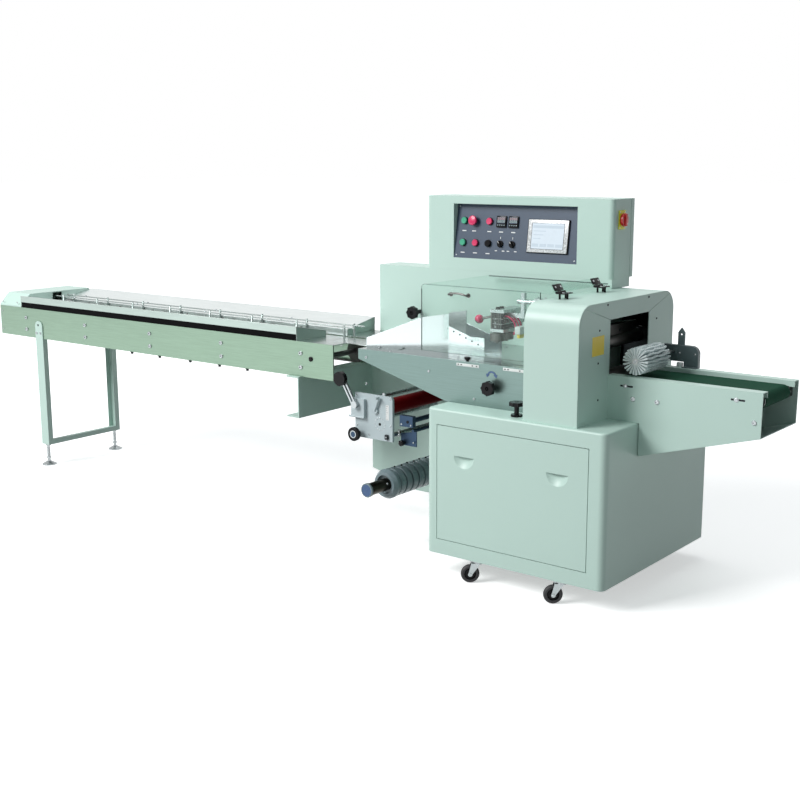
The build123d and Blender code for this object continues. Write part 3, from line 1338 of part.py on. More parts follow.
def outfeed_belt():
    x0, x1, z = outfeed_ends()
    outer = SlotCenterToCenter(x1 - x0, 2 * (OUTFEED_ROLLER_R + OUTFEED_BELT_SHEET))
    inner = SlotCenterToCenter(x1 - x0, 2 * OUTFEED_ROLLER_R)
    middle = (OUTFEED_FRONT + OUTFEED_BACK) / 2
    place = facing_front((x0 + x1) / 2, middle + OUTFEED_BELT_WIDTH / 2, z)
    return place * extrude(outer - inner, OUTFEED_BELT_WIDTH)


def outfeed_bed():
    """End rollers on their axles, and the slider bed on two cross bars."""
    x0, x1, z = outfeed_ends()
    a, b = OUTFEED_FRONT + OUTFEED_SHEET, OUTFEED_BACK - OUTFEED_SHEET
    middle, half = (a + b) / 2, OUTFEED_BELT_WIDTH / 2
    pieces = []
    for x in (x0, x1):
        roller = rod_y(middle - half, middle + half, x, z, OUTFEED_ROLLER_R)
        pieces.append(roller + rod_y(a, b, x, z, 8))
    bed_top = OUTFEED_BELT_TOP - OUTFEED_BELT_SHEET
    bed = block(x0 + 40, x1 - 40, middle - half, middle + half, bed_top - 4, bed_top)
    under_lip = OUTFEED_TOP - OUTFEED_LIP - OUTFEED_BAR_GAP
    for x in (x0 + 90, x1 - 90):
        bed += block(x - 12, x + 12, middle - half, middle + half, under_lip - 16, bed_top - 4)
        bed += block(x - 12, x + 12, a, b, under_lip - 16, under_lip)
    pieces.append(bed)
    return group(pieces)


def brush_roller():
    y0, y1 = BRUSH_FRONT, BRUSH_FRONT + BRUSH_LENGTH
    pieces = [rod_y(y0, y1, BRUSH_X, BRUSH_Z, BRUSH_HUB_R)]
    for i in range(BRUSH_BLADES):
        blade = block(BRUSH_HUB_R - 2, BRUSH_R, y0 + 2, y1 - 2, -BRUSH_BLADE / 2, BRUSH_BLADE / 2)
        pieces.append(Pos(BRUSH_X, 0, BRUSH_Z) * Rot(0, 360 / BRUSH_BLADES * i, 0) * blade)
    pieces.append(rod_y(y0 - 6, OUTFEED_BACK + 6, BRUSH_X, BRUSH_Z, BRUSH_AXLE_R))
    return union(pieces)


def brush_arm():
    """Drive guard that carries the brush's axle behind the conveyor, with its leg and a hanging tag."""
    y0 = OUTFEED_BACK - ARM_SHEET / 2
    y1 = y0 + ARM_SHEET
    guard = block(ARM_LEFT, ARM_RIGHT, y0, y1, ARM_LOW, ARM_HIGH)
    right_top = guard.edges().filter_by(Axis.Y).group_by(Axis.Z)[-1].sort_by(Axis.X)[-1]
    guard = fillet(right_top, ARM_CORNER_R)
    leg = block(ARM_RIGHT - ARM_LEG, ARM_RIGHT, y0, y1, OUTFEED_TOP, ARM_LOW)
    foot = block(ARM_RIGHT - ARM_LEG, ARM_RIGHT, y0 - ARM_FOOT, y0, OUTFEED_TOP, OUTFEED_TOP + SHEET)
    half, root, top = TAG_WIDTH / 2, ARM_HIGH - TAG_ROOT, ARM_HIGH + TAG_HEIGHT
    shoulder = top - TAG_POINT
    outline = [
        (TAG_X - half, root),
        (TAG_X + half, root),
        (TAG_X + half, shoulder),
        (TAG_X, top),
        (TAG_X - half, shoulder),
    ]
    tag = plate_xz(outline, y0 + TAG_SHEET, y0 + 2 * TAG_SHEET)
    tag -= rod_y(y0, y1, TAG_X, top - TAG_HOLE_DROP, TAG_HOLE_R)
    bore = rod_y(y0 - 1, y1 + 1, BRUSH_X, BRUSH_Z, BRUSH_AXLE_R + RUNNING_CLEARANCE)
    return union([guard, leg, foot, tag]) - bore


# ---- Assembly ----
nodes = {
    "base_cabinet": base_cabinet(),
    "front_panel": front_panel(),
    "caster_plates": caster_plates(),
    "main_plate": main_plate(),
    "rear_housing": rear_housing(),
    "infeed_bracket": infeed_bracket(),
    "control_box": control_box(),
    "control_panel": control_panel(),
    "panel_instruments": panel_instruments(),
    "emergency_stop": emergency_stop(),
    "main_switch_knob": main_switch_knob(),
    "sealer_hood": sealer_hood(),
    "hood_side_panels": hood_side_panels(),
    "jaw_bearing_blocks": jaw_bearing_blocks(),
    "upper_jaw": sealing_jaw(NIP_Z + JAW_OFFSET, 1),
    "lower_jaw": sealing_jaw(NIP_Z - JAW_OFFSET, -1),
    "front_apron": front_apron(),
    "table_plate": table_plate(),
    "former_wings": former_wings(),
    "guard_cover": guard_cover(),
    "cover_hinges": cover_hinges(),
    "centre_seal_unit": centre_seal_unit(),
    "seal_wheel_front": seal_wheel(-1),
    "seal_wheel_rear": seal_wheel(1),
    "seal_lever": seal_lever(),
    "apron_knob": apron_knob(),
    "wall_knob": wall_knob(),
    "clamp_knob": clamp_knob(),
    "infeed_side_plates": infeed_side_plates(),
    "infeed_deck": infeed_deck(),
    "infeed_trays": infeed_trays(),
    "infeed_guides": infeed_guides(),
    "pusher_chain": pusher_chain(),
    "infeed_shafts": infeed_shafts(),
    "infeed_end_cover": infeed_end_cover(),
    "infeed_legs": infeed_legs(),
    "levelling_feet": levelling_feet(),
    "film_unit_plate": film_unit_plate(),
    "film_cross_rods": film_cross_rods(),
    "rubber_roller": rubber_roller(),
    "nip_lever": nip_lever(),
    "tension_knob": tension_knob(),
    "sensor_block": sensor_block(),
    "reel_shaft": reel_shaft(),
    "reel_rings": reel_rings(),
    "outfeed_frame": outfeed_frame(),
    "outfeed_bed": outfeed_bed(),
    "outfeed_belt": outfeed_belt(),
    "brush_roller": brush_roller(),
    "brush_arm": brush_arm(),
}
for number, (x, y) in enumerate(caster_axes(), start=1):
    nodes[f"caster_fork_{number}"] = caster_fork(x, y)
    nodes[f"caster_wheel_{number}"] = caster_wheel(x, y)
for number, across in enumerate(SELECTOR_COLUMNS, start=1):
    nodes[f"selector_knob_{number}"] = selector_knob(across)

# The part's origin is the middle of its outer box, on the floor.
boxes = [shape.bounding_box() for shape in nodes.values()]
low_x, high_x = min(b.min.X for b in boxes), max(b.max.X for b in boxes)
low_y, high_y = min(b.min.Y for b in boxes), max(b.max.Y for b in boxes)
low_z = min(b.min.Z for b in boxes)
origin = Pos(-(low_x + high_x) / 2, -(low_y + high_y) / 2, -low_z)
print("shift", origin.position)

os.makedirs("parts", exist_ok=True)
for name, shape in nodes.items():
    export_step(origin * shape, f"parts/{name}.step")
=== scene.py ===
import json
from math import cos, pi, radians, sin, tau

import bmesh
import bpy
from mathutils import Matrix, Vector


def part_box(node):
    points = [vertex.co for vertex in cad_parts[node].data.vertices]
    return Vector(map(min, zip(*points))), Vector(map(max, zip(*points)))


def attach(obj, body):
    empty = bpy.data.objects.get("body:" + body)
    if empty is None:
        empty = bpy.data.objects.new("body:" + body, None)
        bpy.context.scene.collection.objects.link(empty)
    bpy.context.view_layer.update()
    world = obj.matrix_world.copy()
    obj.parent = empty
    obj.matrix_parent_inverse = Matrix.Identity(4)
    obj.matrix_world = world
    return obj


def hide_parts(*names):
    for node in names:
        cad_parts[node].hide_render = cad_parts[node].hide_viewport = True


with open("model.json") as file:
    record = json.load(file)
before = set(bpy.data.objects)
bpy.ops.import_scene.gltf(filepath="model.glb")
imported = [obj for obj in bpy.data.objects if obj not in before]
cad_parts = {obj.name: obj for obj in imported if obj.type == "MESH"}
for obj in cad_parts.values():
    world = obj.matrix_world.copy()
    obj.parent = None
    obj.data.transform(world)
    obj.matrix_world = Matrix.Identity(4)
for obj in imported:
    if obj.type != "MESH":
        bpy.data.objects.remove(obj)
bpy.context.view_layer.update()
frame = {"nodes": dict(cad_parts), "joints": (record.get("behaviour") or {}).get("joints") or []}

bl_info = {
    "name": "Flow Wrapper Dressing",
    "version": (1, 0, 0),
    "blender": (4, 5, 0),
    "location": "3D View > Sidebar > Flow Wrapper",
    "description": "Builds the surfaces and fittings of a horizontal flow wrapper over its solid frame",
    "category": "Add Mesh",
}

# Axes are the frame's: the product travels towards +X, the operator stands on the -Y side, +Z is up.
FRONT, REAR, RIGHT, LEFT, UP, DOWN = (Vector(v) for v in (
    (0, -1, 0), (0, 1, 0), (1, 0, 0), (-1, 0, 0), (0, 0, 1), (0, 0, -1)))


# ---- Shader maths ----
class Value:
    """A shader socket that takes part in sums; a plain number may stand on either side."""

    def __init__(self, graph, socket):
        self.graph, self.socket = graph, socket

    def math(self, operation, other=0.0, reflected=False):
        first, second = (other, self) if reflected else (self, other)
        sockets = [v.socket for v in (first, second) if isinstance(v, Value)]
        vector = any(s.type == "VECTOR" for s in sockets)
        kind = "ShaderNodeVectorMath" if vector else "ShaderNodeMath"
        return self.graph.node(kind, {"operation": operation}, {0: first, 1: second})

    def __add__(self, other):
        return self.math("ADD", other)

    def __radd__(self, other):
        return self.math("ADD", other, True)

    def __sub__(self, other):
        return self.math("SUBTRACT", other)

    def __rsub__(self, other):
        return self.math("SUBTRACT", other, True)

    def __mul__(self, other):
        return self.math("MULTIPLY", other)

    def __rmul__(self, other):
        return self.math("MULTIPLY", other, True)

    def wave(self):
        return self.math("SINE")

    def smaller(self, other):
        return self.math("MINIMUM", other)

    def larger(self, other):
        return self.math("MAXIMUM", other)


class Graph:
    """The node tree of one material or world; every node comes from node()."""

    def __init__(self, name, kind="materials"):
        self.made = getattr(bpy.data, kind).new(name)
        self.made.use_nodes = True
        self.tree = self.made.node_tree
        self.tree.nodes.clear()

    def node(self, kind, settings=None, inputs=None, output=0):
        made = self.tree.nodes.new(kind)
        for key, value in (settings or {}).items():
            setattr(made, key, value)
        for key, value in (inputs or {}).items():
            socket = made.inputs[key]
            if isinstance(value, Value):
                self.tree.links.new(value.socket, socket)
                continue
            size = len(socket.default_value) if hasattr(socket.default_value, "__len__") else 0
            if size and not hasattr(value, "__len__"):
                value = (value,) * size
            socket.default_value = (*value, 1.0) if size == 4 and len(value) == 3 else value
        return Value(self, made.outputs[output]) if made.outputs else None

    def mix(self, factor, first, second):
        """Colour between two colours."""
        settings = {"data_type": "RGBA", "clamp_factor": True}
        return self.node("ShaderNodeMix", settings, {0: factor, 6: first, 7: second}, 2)

    def grain(self, scale, detail=3.0, stretch=(1, 1, 1)):
        """Noise from 0 to 1 over the piece, with its coordinates stretched."""
        place = self.node("ShaderNodeTexCoord", output="Object") * stretch
        return self.node("ShaderNodeTexNoise", None, {"Vector": place, "Scale": scale, "Detail": detail})

    def relief(self, height, strength, distance, edge):
        """Fine relief over softened edges."""
        soft = self.node("ShaderNodeBevel", {"samples": 4}, {"Radius": edge})
        return self.node(
            "ShaderNodeBump", None,
            {"Strength": strength, "Distance": distance, "Height": height, "Normal": soft})

    def surface(self, **sockets):
        """The principled surface; names use underscores for spaces."""
        inputs = {key.replace("_", " "): value for key, value in sockets.items()}
        return self.node("ShaderNodeBsdfPrincipled", None, inputs)

    def close(self, shader, kind="Material"):
        self.node(f"ShaderNodeOutput{kind}", None, {"Surface": shader})
        return self.made


def shades(colour, dark, light, lift=0.0):
    """A darker and a lighter version of a colour."""
    return [c * dark for c in colour], [min(1.0, c * light + lift) for c in colour]


def painted(name, colour, look):
    """Powder coat: a faint drift of tone, orange peel and softened edges."""
    graph = Graph(name)
    drift, peel = graph.grain(2.3), graph.grain(620.0, 1.0)
    tone = graph.mix(drift, *shades(colour, 0.965, 1.03))
    rough = look.paint_roughness + 0.10 * (graph.grain(34.0) - 0.5)
    bump = graph.relief(peel, 0.10, 0.0004, look.edge)
    return graph.close(graph.surface(
        Base_Color=tone, Roughness=rough, Normal=bump, Coat_Weight=look.paint_coat, Coat_Roughness=0.25))


def brushed(name, colour, look, stretch=(1, 90, 90), rough=0.30):
    """Brushed metal with long streaks."""
    graph = Graph(name)
    streak, cloud = graph.grain(9.0, 6.0, stretch), graph.grain(3.0)
    tone = graph.mix(streak * 0.75 + cloud * 0.25, *shades(colour, 0.66, 1.30))
    bump = graph.relief(streak, 0.16, 0.0003, look.edge)
    rough = rough + 0.16 * (streak - 0.5) + 0.08 * (cloud - 0.5)
    return graph.close(graph.surface(Base_Color=tone, Roughness=rough, Metallic=1.0, Normal=bump))


def cast(name, colour, look, rough=0.42, metallic=1.0):
    """Plain turned, ground or plated metal."""
    graph = Graph(name)
    blotch, fine = graph.grain(26.0, 5.0), graph.grain(420.0, 2.0)
    tone = graph.mix(blotch, *shades(colour, 0.84, 1.08))
    bump = graph.relief(fine, 0.12, 0.0002, look.small_edge)
    return graph.close(graph.surface(
        Base_Color=tone, Roughness=rough + 0.18 * (blotch - 0.5), Metallic=metallic, Normal=bump))


def moulded(name, colour, look, rough=0.42, coat=0.0, shine=0.5):
    """Moulded plastic or rubber with a fine texture."""
    graph = Graph(name)
    fine, cloud = graph.grain(520.0, 2.0), graph.grain(14.0)
    tone = graph.mix(cloud, *shades(colour, 0.88, 1.10, 0.002))
    bump = graph.relief(fine, 0.14, 0.0002, look.small_edge)
    return graph.close(graph.surface(
        Base_Color=tone, Roughness=rough + 0.14 * (cloud - 0.5), Specular_IOR_Level=shine, Coat_Weight=coat,
        Coat_Roughness=0.12, Normal=bump))


def speckled(name, colour, look):
    """Silver frame with coarse flecks."""
    graph = Graph(name)
    fleck, fine = graph.grain(160.0, 4.0), graph.grain(900.0, 1.0)
    tone = graph.mix((fleck - 0.42) * 4.0, *shades(colour, 0.60, 1.05))
    return graph.close(graph.surface(
        Base_Color=tone, Roughness=0.35, Metallic=0.3, Normal=graph.relief(fine, 0.1, 0.0002, look.small_edge)))


def belting(name, colour, look):
    """Woven conveyor belting."""
    graph = Graph(name)
    place = graph.node("ShaderNodeTexCoord", output="Object")
    parts = [graph.node("ShaderNodeSeparateXYZ", None, {0: place}, axis) for axis in (0, 1)]
    weave = (parts[0] * 2600.0).wave() * (parts[1] * 2600.0).wave() * 0.5 + 0.5
    scuff = graph.grain(40.0, 4.0, (0.3, 1, 1))
    tone = graph.mix(scuff, *shades(colour, 0.7, 1.25))
    bump = graph.relief(weave, 0.25, 0.0003, look.small_edge)
    return graph.close(graph.surface(
        Base_Color=tone, Roughness=0.8 + 0.2 * (scuff - 0.5), Specular_IOR_Level=0.08, Normal=bump))


def clear(name, colour, look):
    """Thin clear sheet: mostly see-through, with a faint sheen and a little haze."""
    graph = Graph(name)
    haze = graph.grain(5.0, 4.0)
    through = graph.node("ShaderNodeBsdfTransparent", None, {0: colour})
    sheen = graph.surface(Base_Color=(0.8, 0.87, 0.84), Roughness=0.07, Specular_IOR_Level=0.5)
    caught = look.clear_haze + 0.03 * haze
    return graph.close(graph.node("ShaderNodeMixShader", None, {0: caught, 1: through, 2: sheen}))


def lamp(name, colour, look, strength=0.5):
    """A display or lamp that glows a little."""
    graph = Graph(name)
    speck = graph.grain(60.0)
    tone = graph.mix(speck, *shades(colour, 0.93, 1.0))
    return graph.close(graph.surface(
        Base_Color=tone, Roughness=0.18, Emission_Color=tone, Emission_Strength=strength))


# Each finish takes its colour from the look setting of its own name: (recipe, extra settings of the recipe).
FINISHES = {
    "mint": (painted, {}),
    "film_grey": (painted, {}),
    "slate": (painted, {}),
    "arm_grey": (painted, {}),
    "apron_steel": (brushed, {"stretch": (1, 90, 90), "rough": 0.36}),
    "deck_steel": (brushed, {"stretch": (1, 90, 90), "rough": 0.24}),
    "side_steel": (brushed, {"stretch": (1, 70, 70), "rough": 0.34}),
    "lip_steel": (brushed, {"stretch": (1, 60, 60), "rough": 0.34}),
    "tray_steel": (brushed, {"stretch": (1, 60, 60), "rough": 0.32}),
    "wing_steel": (brushed, {"stretch": (60, 1, 60), "rough": 0.16}),
    "zinc": (cast, {"rough": 0.28}),
    "tool_steel": (cast, {"rough": 0.36}),
    "black_steel": (cast, {"rough": 0.45}),
    "blue_alloy": (cast, {"rough": 0.46}),
    "alloy": (cast, {"rough": 0.34}),
    "bronze": (cast, {"rough": 0.34}),
    "black": (moulded, {"rough": 0.20, "shine": 0.14}),
    "rubber": (moulded, {"rough": 0.62}),
    "red_rubber": (moulded, {"rough": 0.34, "shine": 0.02}),
    "red": (moulded, {"rough": 0.3, "coat": 0.2}),
    "switch_red": (moulded, {"rough": 0.3, "coat": 0.3}),
    "yellow": (moulded, {"rough": 0.4}),
    "lime": (moulded, {"rough": 0.4}),
    "green": (moulded, {"rough": 0.3, "coat": 0.3}),
    "blue": (moulded, {"rough": 0.32, "coat": 0.3}),
    "ring_grey": (moulded, {"rough": 0.26}),
    "white": (moulded, {"rough": 0.45}),
    # painted shade: near-black finish of the sheets inside the hood and under the trays' lips
    "liner": (moulded, {"rough": 0.8, "shine": 0.04}),
    "speckled": (speckled, {}),
    "bristle": (moulded, {"rough": 0.6}),
    "belt": (belting, {}),
    "clear": (clear, {}),
    "clear_edge": (moulded, {"rough": 0.2}),
    "screen": (lamp, {"strength": 0.25}),
    "screen_blue": (lamp, {"strength": 0.15}),
    "digits_red": (lamp, {"strength": 0.25}),
    "digits_green": (lamp, {"strength": 0.25}),
}
made_finishes = {}


def finish(name):
    """The named material, made once."""
    if name not in made_finishes:
        recipe, extra = FINISHES[name]
        look = bpy.context.scene.wrapper_look
        made_finishes[name] = recipe(name, tuple(getattr(look, name)), look, **extra)
    return made_finishes[name]


# ---- Places ----
def facing(origin, normal, up=UP):
    """Place whose local +Z is the normal and whose local +Y runs along up."""
    z = Vector(normal).normalized()
    up = Vector(up)
    x = up.cross(z) if up.cross(z).length > 1e-6 else REAR.cross(z)
    x.normalize()
    turn = Matrix((x, z.cross(x), z)).transposed().to_4x4()
    return Matrix.Translation(Vector(origin)) @ turn


def joint(name):
    """Position and axis of a joint."""
    found = next(j for j in frame["joints"] if j["name"] == name)
    return Vector(found["pos_m"]), Vector(found["axis"]).normalized()


def ends(lo, hi):
    """The front and rear faces of a box with their normals."""
    return (lo.y, FRONT), (hi.y, REAR)


def corners(x, y):
    return (-x, -y), (x, -y), (-x, y), (x, y)


def circle(count, radius, start=0.0):
    """Points round a circle from an angle in radians."""
    turns = [start + tau * k / count for k in range(count)]
    return [(radius * cos(t), radius * sin(t)) for t in turns]


def mirrored(profile):
    """A turned profile followed by its mirror image."""
    return profile + [(r, -z) for r, z in reversed(profile)]


def arc(radius, start, end, steps, centre=(0.0, 0.0)):
    """Points of an arc, angles in degrees."""
    turns = [radians(start + (end - start) * i / steps) for i in range(steps + 1)]
    return [(centre[0] + radius * cos(t), centre[1] + radius * sin(t)) for t in turns]


def smooth_path(points, steps=6):
    """Points of a smooth curve through the given ones."""
    p = [Vector(v) for v in points]
    p = [2 * p[0] - p[1]] + p + [2 * p[-1] - p[-2]]
    path = []
    for a, b, c, d in zip(p, p[1:], p[2:], p[3:]):
        for i in range(steps):
            t = i / steps
            square, cube = 2 * a - 5 * b + 4 * c - d, 3 * b - a - 3 * c + d
            path.append(0.5 * (2 * b + (c - a) * t + square * t * t + cube * t ** 3))
    return path + [p[-2]]


# ---- Pieces ----
BEVELLED = radians(35)  # edges sharper than this are bevelled
SHARP = radians(34)  # edges sharper than this are shaded as sharp


class Piece:
    """One piece in the making: each part is shaped in a scratch mesh and joined in."""

    def __init__(self, coat):
        self.mesh, self.coats, self.current = bmesh.new(), [coat], 0

    def use(self, coat):
        if coat not in self.coats:
            self.coats.append(coat)
        self.current = self.coats.index(coat)
        return self

    def join(self, part, bevel=0.0, steps=2):
        bmesh.ops.recalc_face_normals(part, faces=part.faces)
        if bevel:
            edges = [e for e in part.edges if len(e.link_faces) == 2 and e.calc_face_angle(0.0) > BEVELLED]
            bmesh.ops.bevel(
                part, geom=edges, offset=bevel, segments=steps, affect="EDGES", profile=0.5, clamp_overlap=True)
        for face in part.faces:
            face.material_index = self.current
        scratch = bpy.data.meshes.new("scratch")
        part.to_mesh(scratch)
        part.free()
        self.mesh.from_mesh(scratch)
        bpy.data.meshes.remove(scratch)
        return self

    def box(self, lo, hi, bevel=0.0, place=Matrix()):
        lo, hi = Vector(lo), Vector(hi)
        size = Matrix.Diagonal((*(hi - lo), 1.0))
        part = bmesh.new()
        bmesh.ops.create_cube(part, size=1.0, matrix=place @ Matrix.Translation((lo + hi) / 2) @ size)
        return self.join(part, bevel)

    def prism(self, outline, depth, place=Matrix(), bevel=0.0):
        """Flat outline in local X and Y, drawn out along local +Z."""
        part = bmesh.new()
        low, high = ([part.verts.new(place @ Vector((x, y, z))) for x, y in outline] for z in (0.0, depth))
        part.faces.new(low)
        part.faces.new(high)
        for i in range(len(low)):
            part.faces.new((low[i - 1], low[i], high[i], high[i - 1]))
        return self.join(part, bevel)

    def turned(self, profile, place=Matrix(), sides=32, ring=False):
        """Profile of (radius, height) turned round local Z; a ring closes on itself."""
        part, rows = bmesh.new(), []
        for radius, height in profile:
            points = circle(sides if radius > 1e-7 else 1, radius)
            rows.append([part.verts.new(place @ Vector((x, y, height))) for x, y in points])
        for low, high in list(zip(rows, rows[1:])) + ([(rows[-1], rows[0])] if ring else []):
            for i in range(sides):
                j = (i + 1) % sides
                loop = (low[i % len(low)], low[j % len(low)], high[j % len(high)], high[i % len(high)])
                loop = list(dict.fromkeys(loop))
                if len(loop) > 2:
                    part.faces.new(loop)
        for end in () if ring else (rows[0], rows[-1]):
            if len(end) > 1:
                part.faces.new(end)
        return self.join(part)

    def tube(self, points, radius, sides=12):
        """Round bar or lead along a path."""
        points = [Vector(p) for p in points]
        part, rows = bmesh.new(), []
        along = (points[1] - points[0]).normalized()
        side = along.orthogonal().normalized()
        for i, point in enumerate(points):
            ahead = points[min(i + 1, len(points) - 1)] - points[max(i - 1, 0)]
            ahead.normalize()
            side = (side - ahead * side.dot(ahead)).normalized()
            other = ahead.cross(side)
            rows.append([part.verts.new(point + side * x + other * y) for x, y in circle(sides, radius)])
        for low, high in zip(rows, rows[1:]):
            for k in range(sides):
                part.faces.new((low[k - 1], low[k], high[k], high[k - 1]))
        part.faces.new(rows[0])
        part.faces.new(rows[-1])
        return self.join(part)

    def screw(self, origin, normal, radius, washer=0.0):
        """Button-head screw with a socket, on an optional washer."""
        place, h = facing(origin, normal), radius * 0.6
        if washer:
            w = washer * 0.16
            self.turned([(washer, 0), (washer, w), (0, w)], place, 16)
            place = place @ Matrix.Translation((0, 0, w))
        head = [(1, 0), (1, 0.5), (0.75, 1), (0.45, 1), (0.45, 0.4), (0, 0.4)]
        return self.turned([(radius * a, h * b) for a, b in head], place, 12)

    def pin(self, origin, normal, radius, height, sides=20):
        """Flat-ended round boss."""
        return self.turned([(radius, 0), (radius, height), (0, height)], facing(origin, normal), sides)

    def plates(self, place, across, up, rows):
        """Flat plates on a face: coat, left, low, right, high as shares of the half sizes, bottom, top, bevel."""
        for coat, x0, y0, x1, y1, low, high, bevel in rows:
            self.use(coat).box((x0 * across, y0 * up, low), (x1 * across, y1 * up, high), bevel, place)
        return self

    def bolt(self, origin, normal, radius, height):
        """Hexagon head on a washer."""
        place = facing(origin, normal)
        self.turned([(radius * 1.35, 0), (radius * 1.35, radius * 0.2), (0, radius * 0.2)], place, 20)
        return self.prism(circle(6, radius), height, place, radius * 0.12)

    def slot(self, origin, normal, length, width, depth, up=UP):
        """Round-ended dark insert that reads as a slotted hole: painted shade of its opening."""
        r, half = width / 2, length / 2 - width / 2
        outline = arc(r, -90, 90, 8, (half, 0)) + arc(r, 90, 270, 8, (-half, 0))
        return self.prism(outline, depth, facing(origin, normal, up))

    def spring(self, start, end, radius, wire, turns):
        """Coil spring between two points."""
        place, steps = facing(start, end - start), turns * 12
        rise, around = (end - start).length / steps, circle(12, radius)
        return self.tube([place @ Vector((*around[i % 12], rise * i)) for i in range(steps + 1)], wire, 6)

    def done(self, name, body, slot_name, *nodes):
        """Finishes the piece: it rides on a body and may stand for frame nodes."""
        mesh = bpy.data.meshes.new(name)
        self.mesh.to_mesh(mesh)
        self.mesh.free()
        for coat in self.coats:
            mesh.materials.append(finish(coat))
        mesh.polygons.foreach_set("use_smooth", [True] * len(mesh.polygons))
        mesh.set_sharp_from_angle(angle=SHARP)
        made = bpy.data.objects.new(name, mesh)
        bpy.context.scene.collection.objects.link(made)
        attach(made, body)
        if nodes:
            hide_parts(*nodes)


# ---- Settings ----
def length(description, *default):
    """A length in metres, or a vector of them."""
    if len(default) == 1:
        return bpy.props.FloatProperty(description=description, default=default[0], unit="LENGTH", precision=4)
    return bpy.props.FloatVectorProperty(
        description=description, default=default, size=len(default), unit="LENGTH", precision=4)


def angle(description, *degrees):
    """An angle, or a set of them."""
    turns = [radians(d) for d in degrees]
    if len(turns) == 1:
        return bpy.props.FloatProperty(description=description, default=turns[0], unit="ROTATION")
    return bpy.props.FloatVectorProperty(description=description, default=turns, size=len(turns), unit="ROTATION")


def number(description, default):
    return bpy.props.IntProperty(description=description, default=default, min=1)


def colour(description, *default):
    return bpy.props.FloatVectorProperty(
        description=description, default=default, subtype="COLOR", size=3, min=0.0, max=1.0)


def share(description, default):
    return bpy.props.FloatProperty(description=description, default=default, subtype="FACTOR", min=0.0, max=1.0)


def power(description, default):
    return bpy.props.FloatProperty(description=description, default=default, min=0.0)


def labelled(group):
    """Labels each setting of a group after its attribute."""
    for key, setting in group.__annotations__.items():
        setting.keywords["name"] = key.replace("_", " ").capitalize()
    return group


@labelled
class LookSettings(bpy.types.PropertyGroup):
    """Colours and surface qualities."""

    mint: colour("Powder coat of the machine's body", 0.50, 0.665, 0.60)
    film_grey: colour("Plate of the film unit", 0.45, 0.53, 0.55)
    slate: colour("Panel face", 0.024, 0.048, 0.086)
    arm_grey: colour("Drive guard of the brush", 0.075, 0.11, 0.115)
    apron_steel: colour("Brushed apron", 0.165, 0.235, 0.220)
    side_steel: colour("Infeed side plates", 0.215, 0.305, 0.235)
    deck_steel: colour("Table and deck", 0.42, 0.47, 0.46)
    wing_steel: colour("Polished wings of the former", 0.52, 0.57, 0.58)
    lip_steel: colour("Outer lips of the trays", 0.36, 0.43, 0.40)
    tray_steel: colour("Sheets of the infeed trays", 0.74, 0.84, 0.82)
    zinc: colour("Plated fittings", 0.40, 0.43, 0.44)
    tool_steel: colour("Jaws, rollers and chain", 0.13, 0.13, 0.125)
    black_steel: colour("Blackened fittings", 0.03, 0.033, 0.036)
    blue_alloy: colour("Anodised blocks", 0.042, 0.070, 0.115)
    alloy: colour("Bare aluminium", 0.68, 0.70, 0.71)
    speckled: colour("Bezel of the display", 0.68, 0.70, 0.71)
    bronze: colour("Reel shaft", 0.045, 0.042, 0.032)
    black: colour("Knobs and buttons", 0.005, 0.005, 0.006)
    rubber: colour("Tyres", 0.014, 0.014, 0.016)
    red_rubber: colour("Rubber roller", 0.15, 0.002, 0.004)
    red: colour("Buttons and lever ball", 0.66, 0.008, 0.105)
    switch_red: colour("Handle of the main switch", 0.62, 0.012, 0.012)
    yellow: colour("Labels and the switch plate", 1.0, 0.72, 0.10)
    lime: colour("Plate of the main switch", 0.80, 0.80, 0.03)
    green: colour("Start buttons", 0.02, 0.36, 0.20)
    blue: colour("Reel cap and dial", 0.02, 0.075, 0.20)
    ring_grey: colour("Reel rings", 0.17, 0.23, 0.25)
    white: colour("Bare label strips", 0.78, 0.80, 0.79)
    # Painted shade: near-black colour of the sheets inside the sealer hood and in the gaps under the infeed trays' lips
    liner: colour("Soot-dark inside of the hood", 0.004, 0.004, 0.0045)
    bristle: colour("Brush blades", 0.82, 0.90, 0.90)
    belt: colour("Outfeed belt", 0.008, 0.050, 0.028)
    clear: colour("Clear guard seen flat on", 0.93, 0.97, 0.955)
    clear_edge: colour("Clear guard seen on its edge", 0.10, 0.15, 0.14)
    screen: colour("Lit display", 0.60, 0.67, 0.74)
    screen_blue: colour("Fields on the display", 0.54, 0.62, 0.70)
    digits_red: colour("Upper digits of a controller", 0.55, 0.36, 0.34)
    digits_green: colour("Lower digits of a controller", 0.40, 0.50, 0.46)
    paint_roughness: share("Roughness of the powder coat", 0.42)
    paint_coat: share("Clear coat over the paint", 0.08)
    clear_haze: share("Share of the guard that catches light", 0.035)
    edge: length("Softening of sheet edges", 0.0016)
    small_edge: length("Softening of small edges", 0.0005)


@labelled
class CasterSettings(bpy.types.PropertyGroup):
    """Caster wheels."""

    tread: length("Half width of the flat of the tyre", 0.0070)
    hub: length("Radius of the wheel's disc", 0.0225)
    nut: length("Radius of the axle's nuts", 0.0055)
    axle: length("Distance of the axle's nuts from the wheel's centre", 0.0163)
    plate_bolts: length("Distance of the plate's bolts from the pivot along each axis", 0.016)


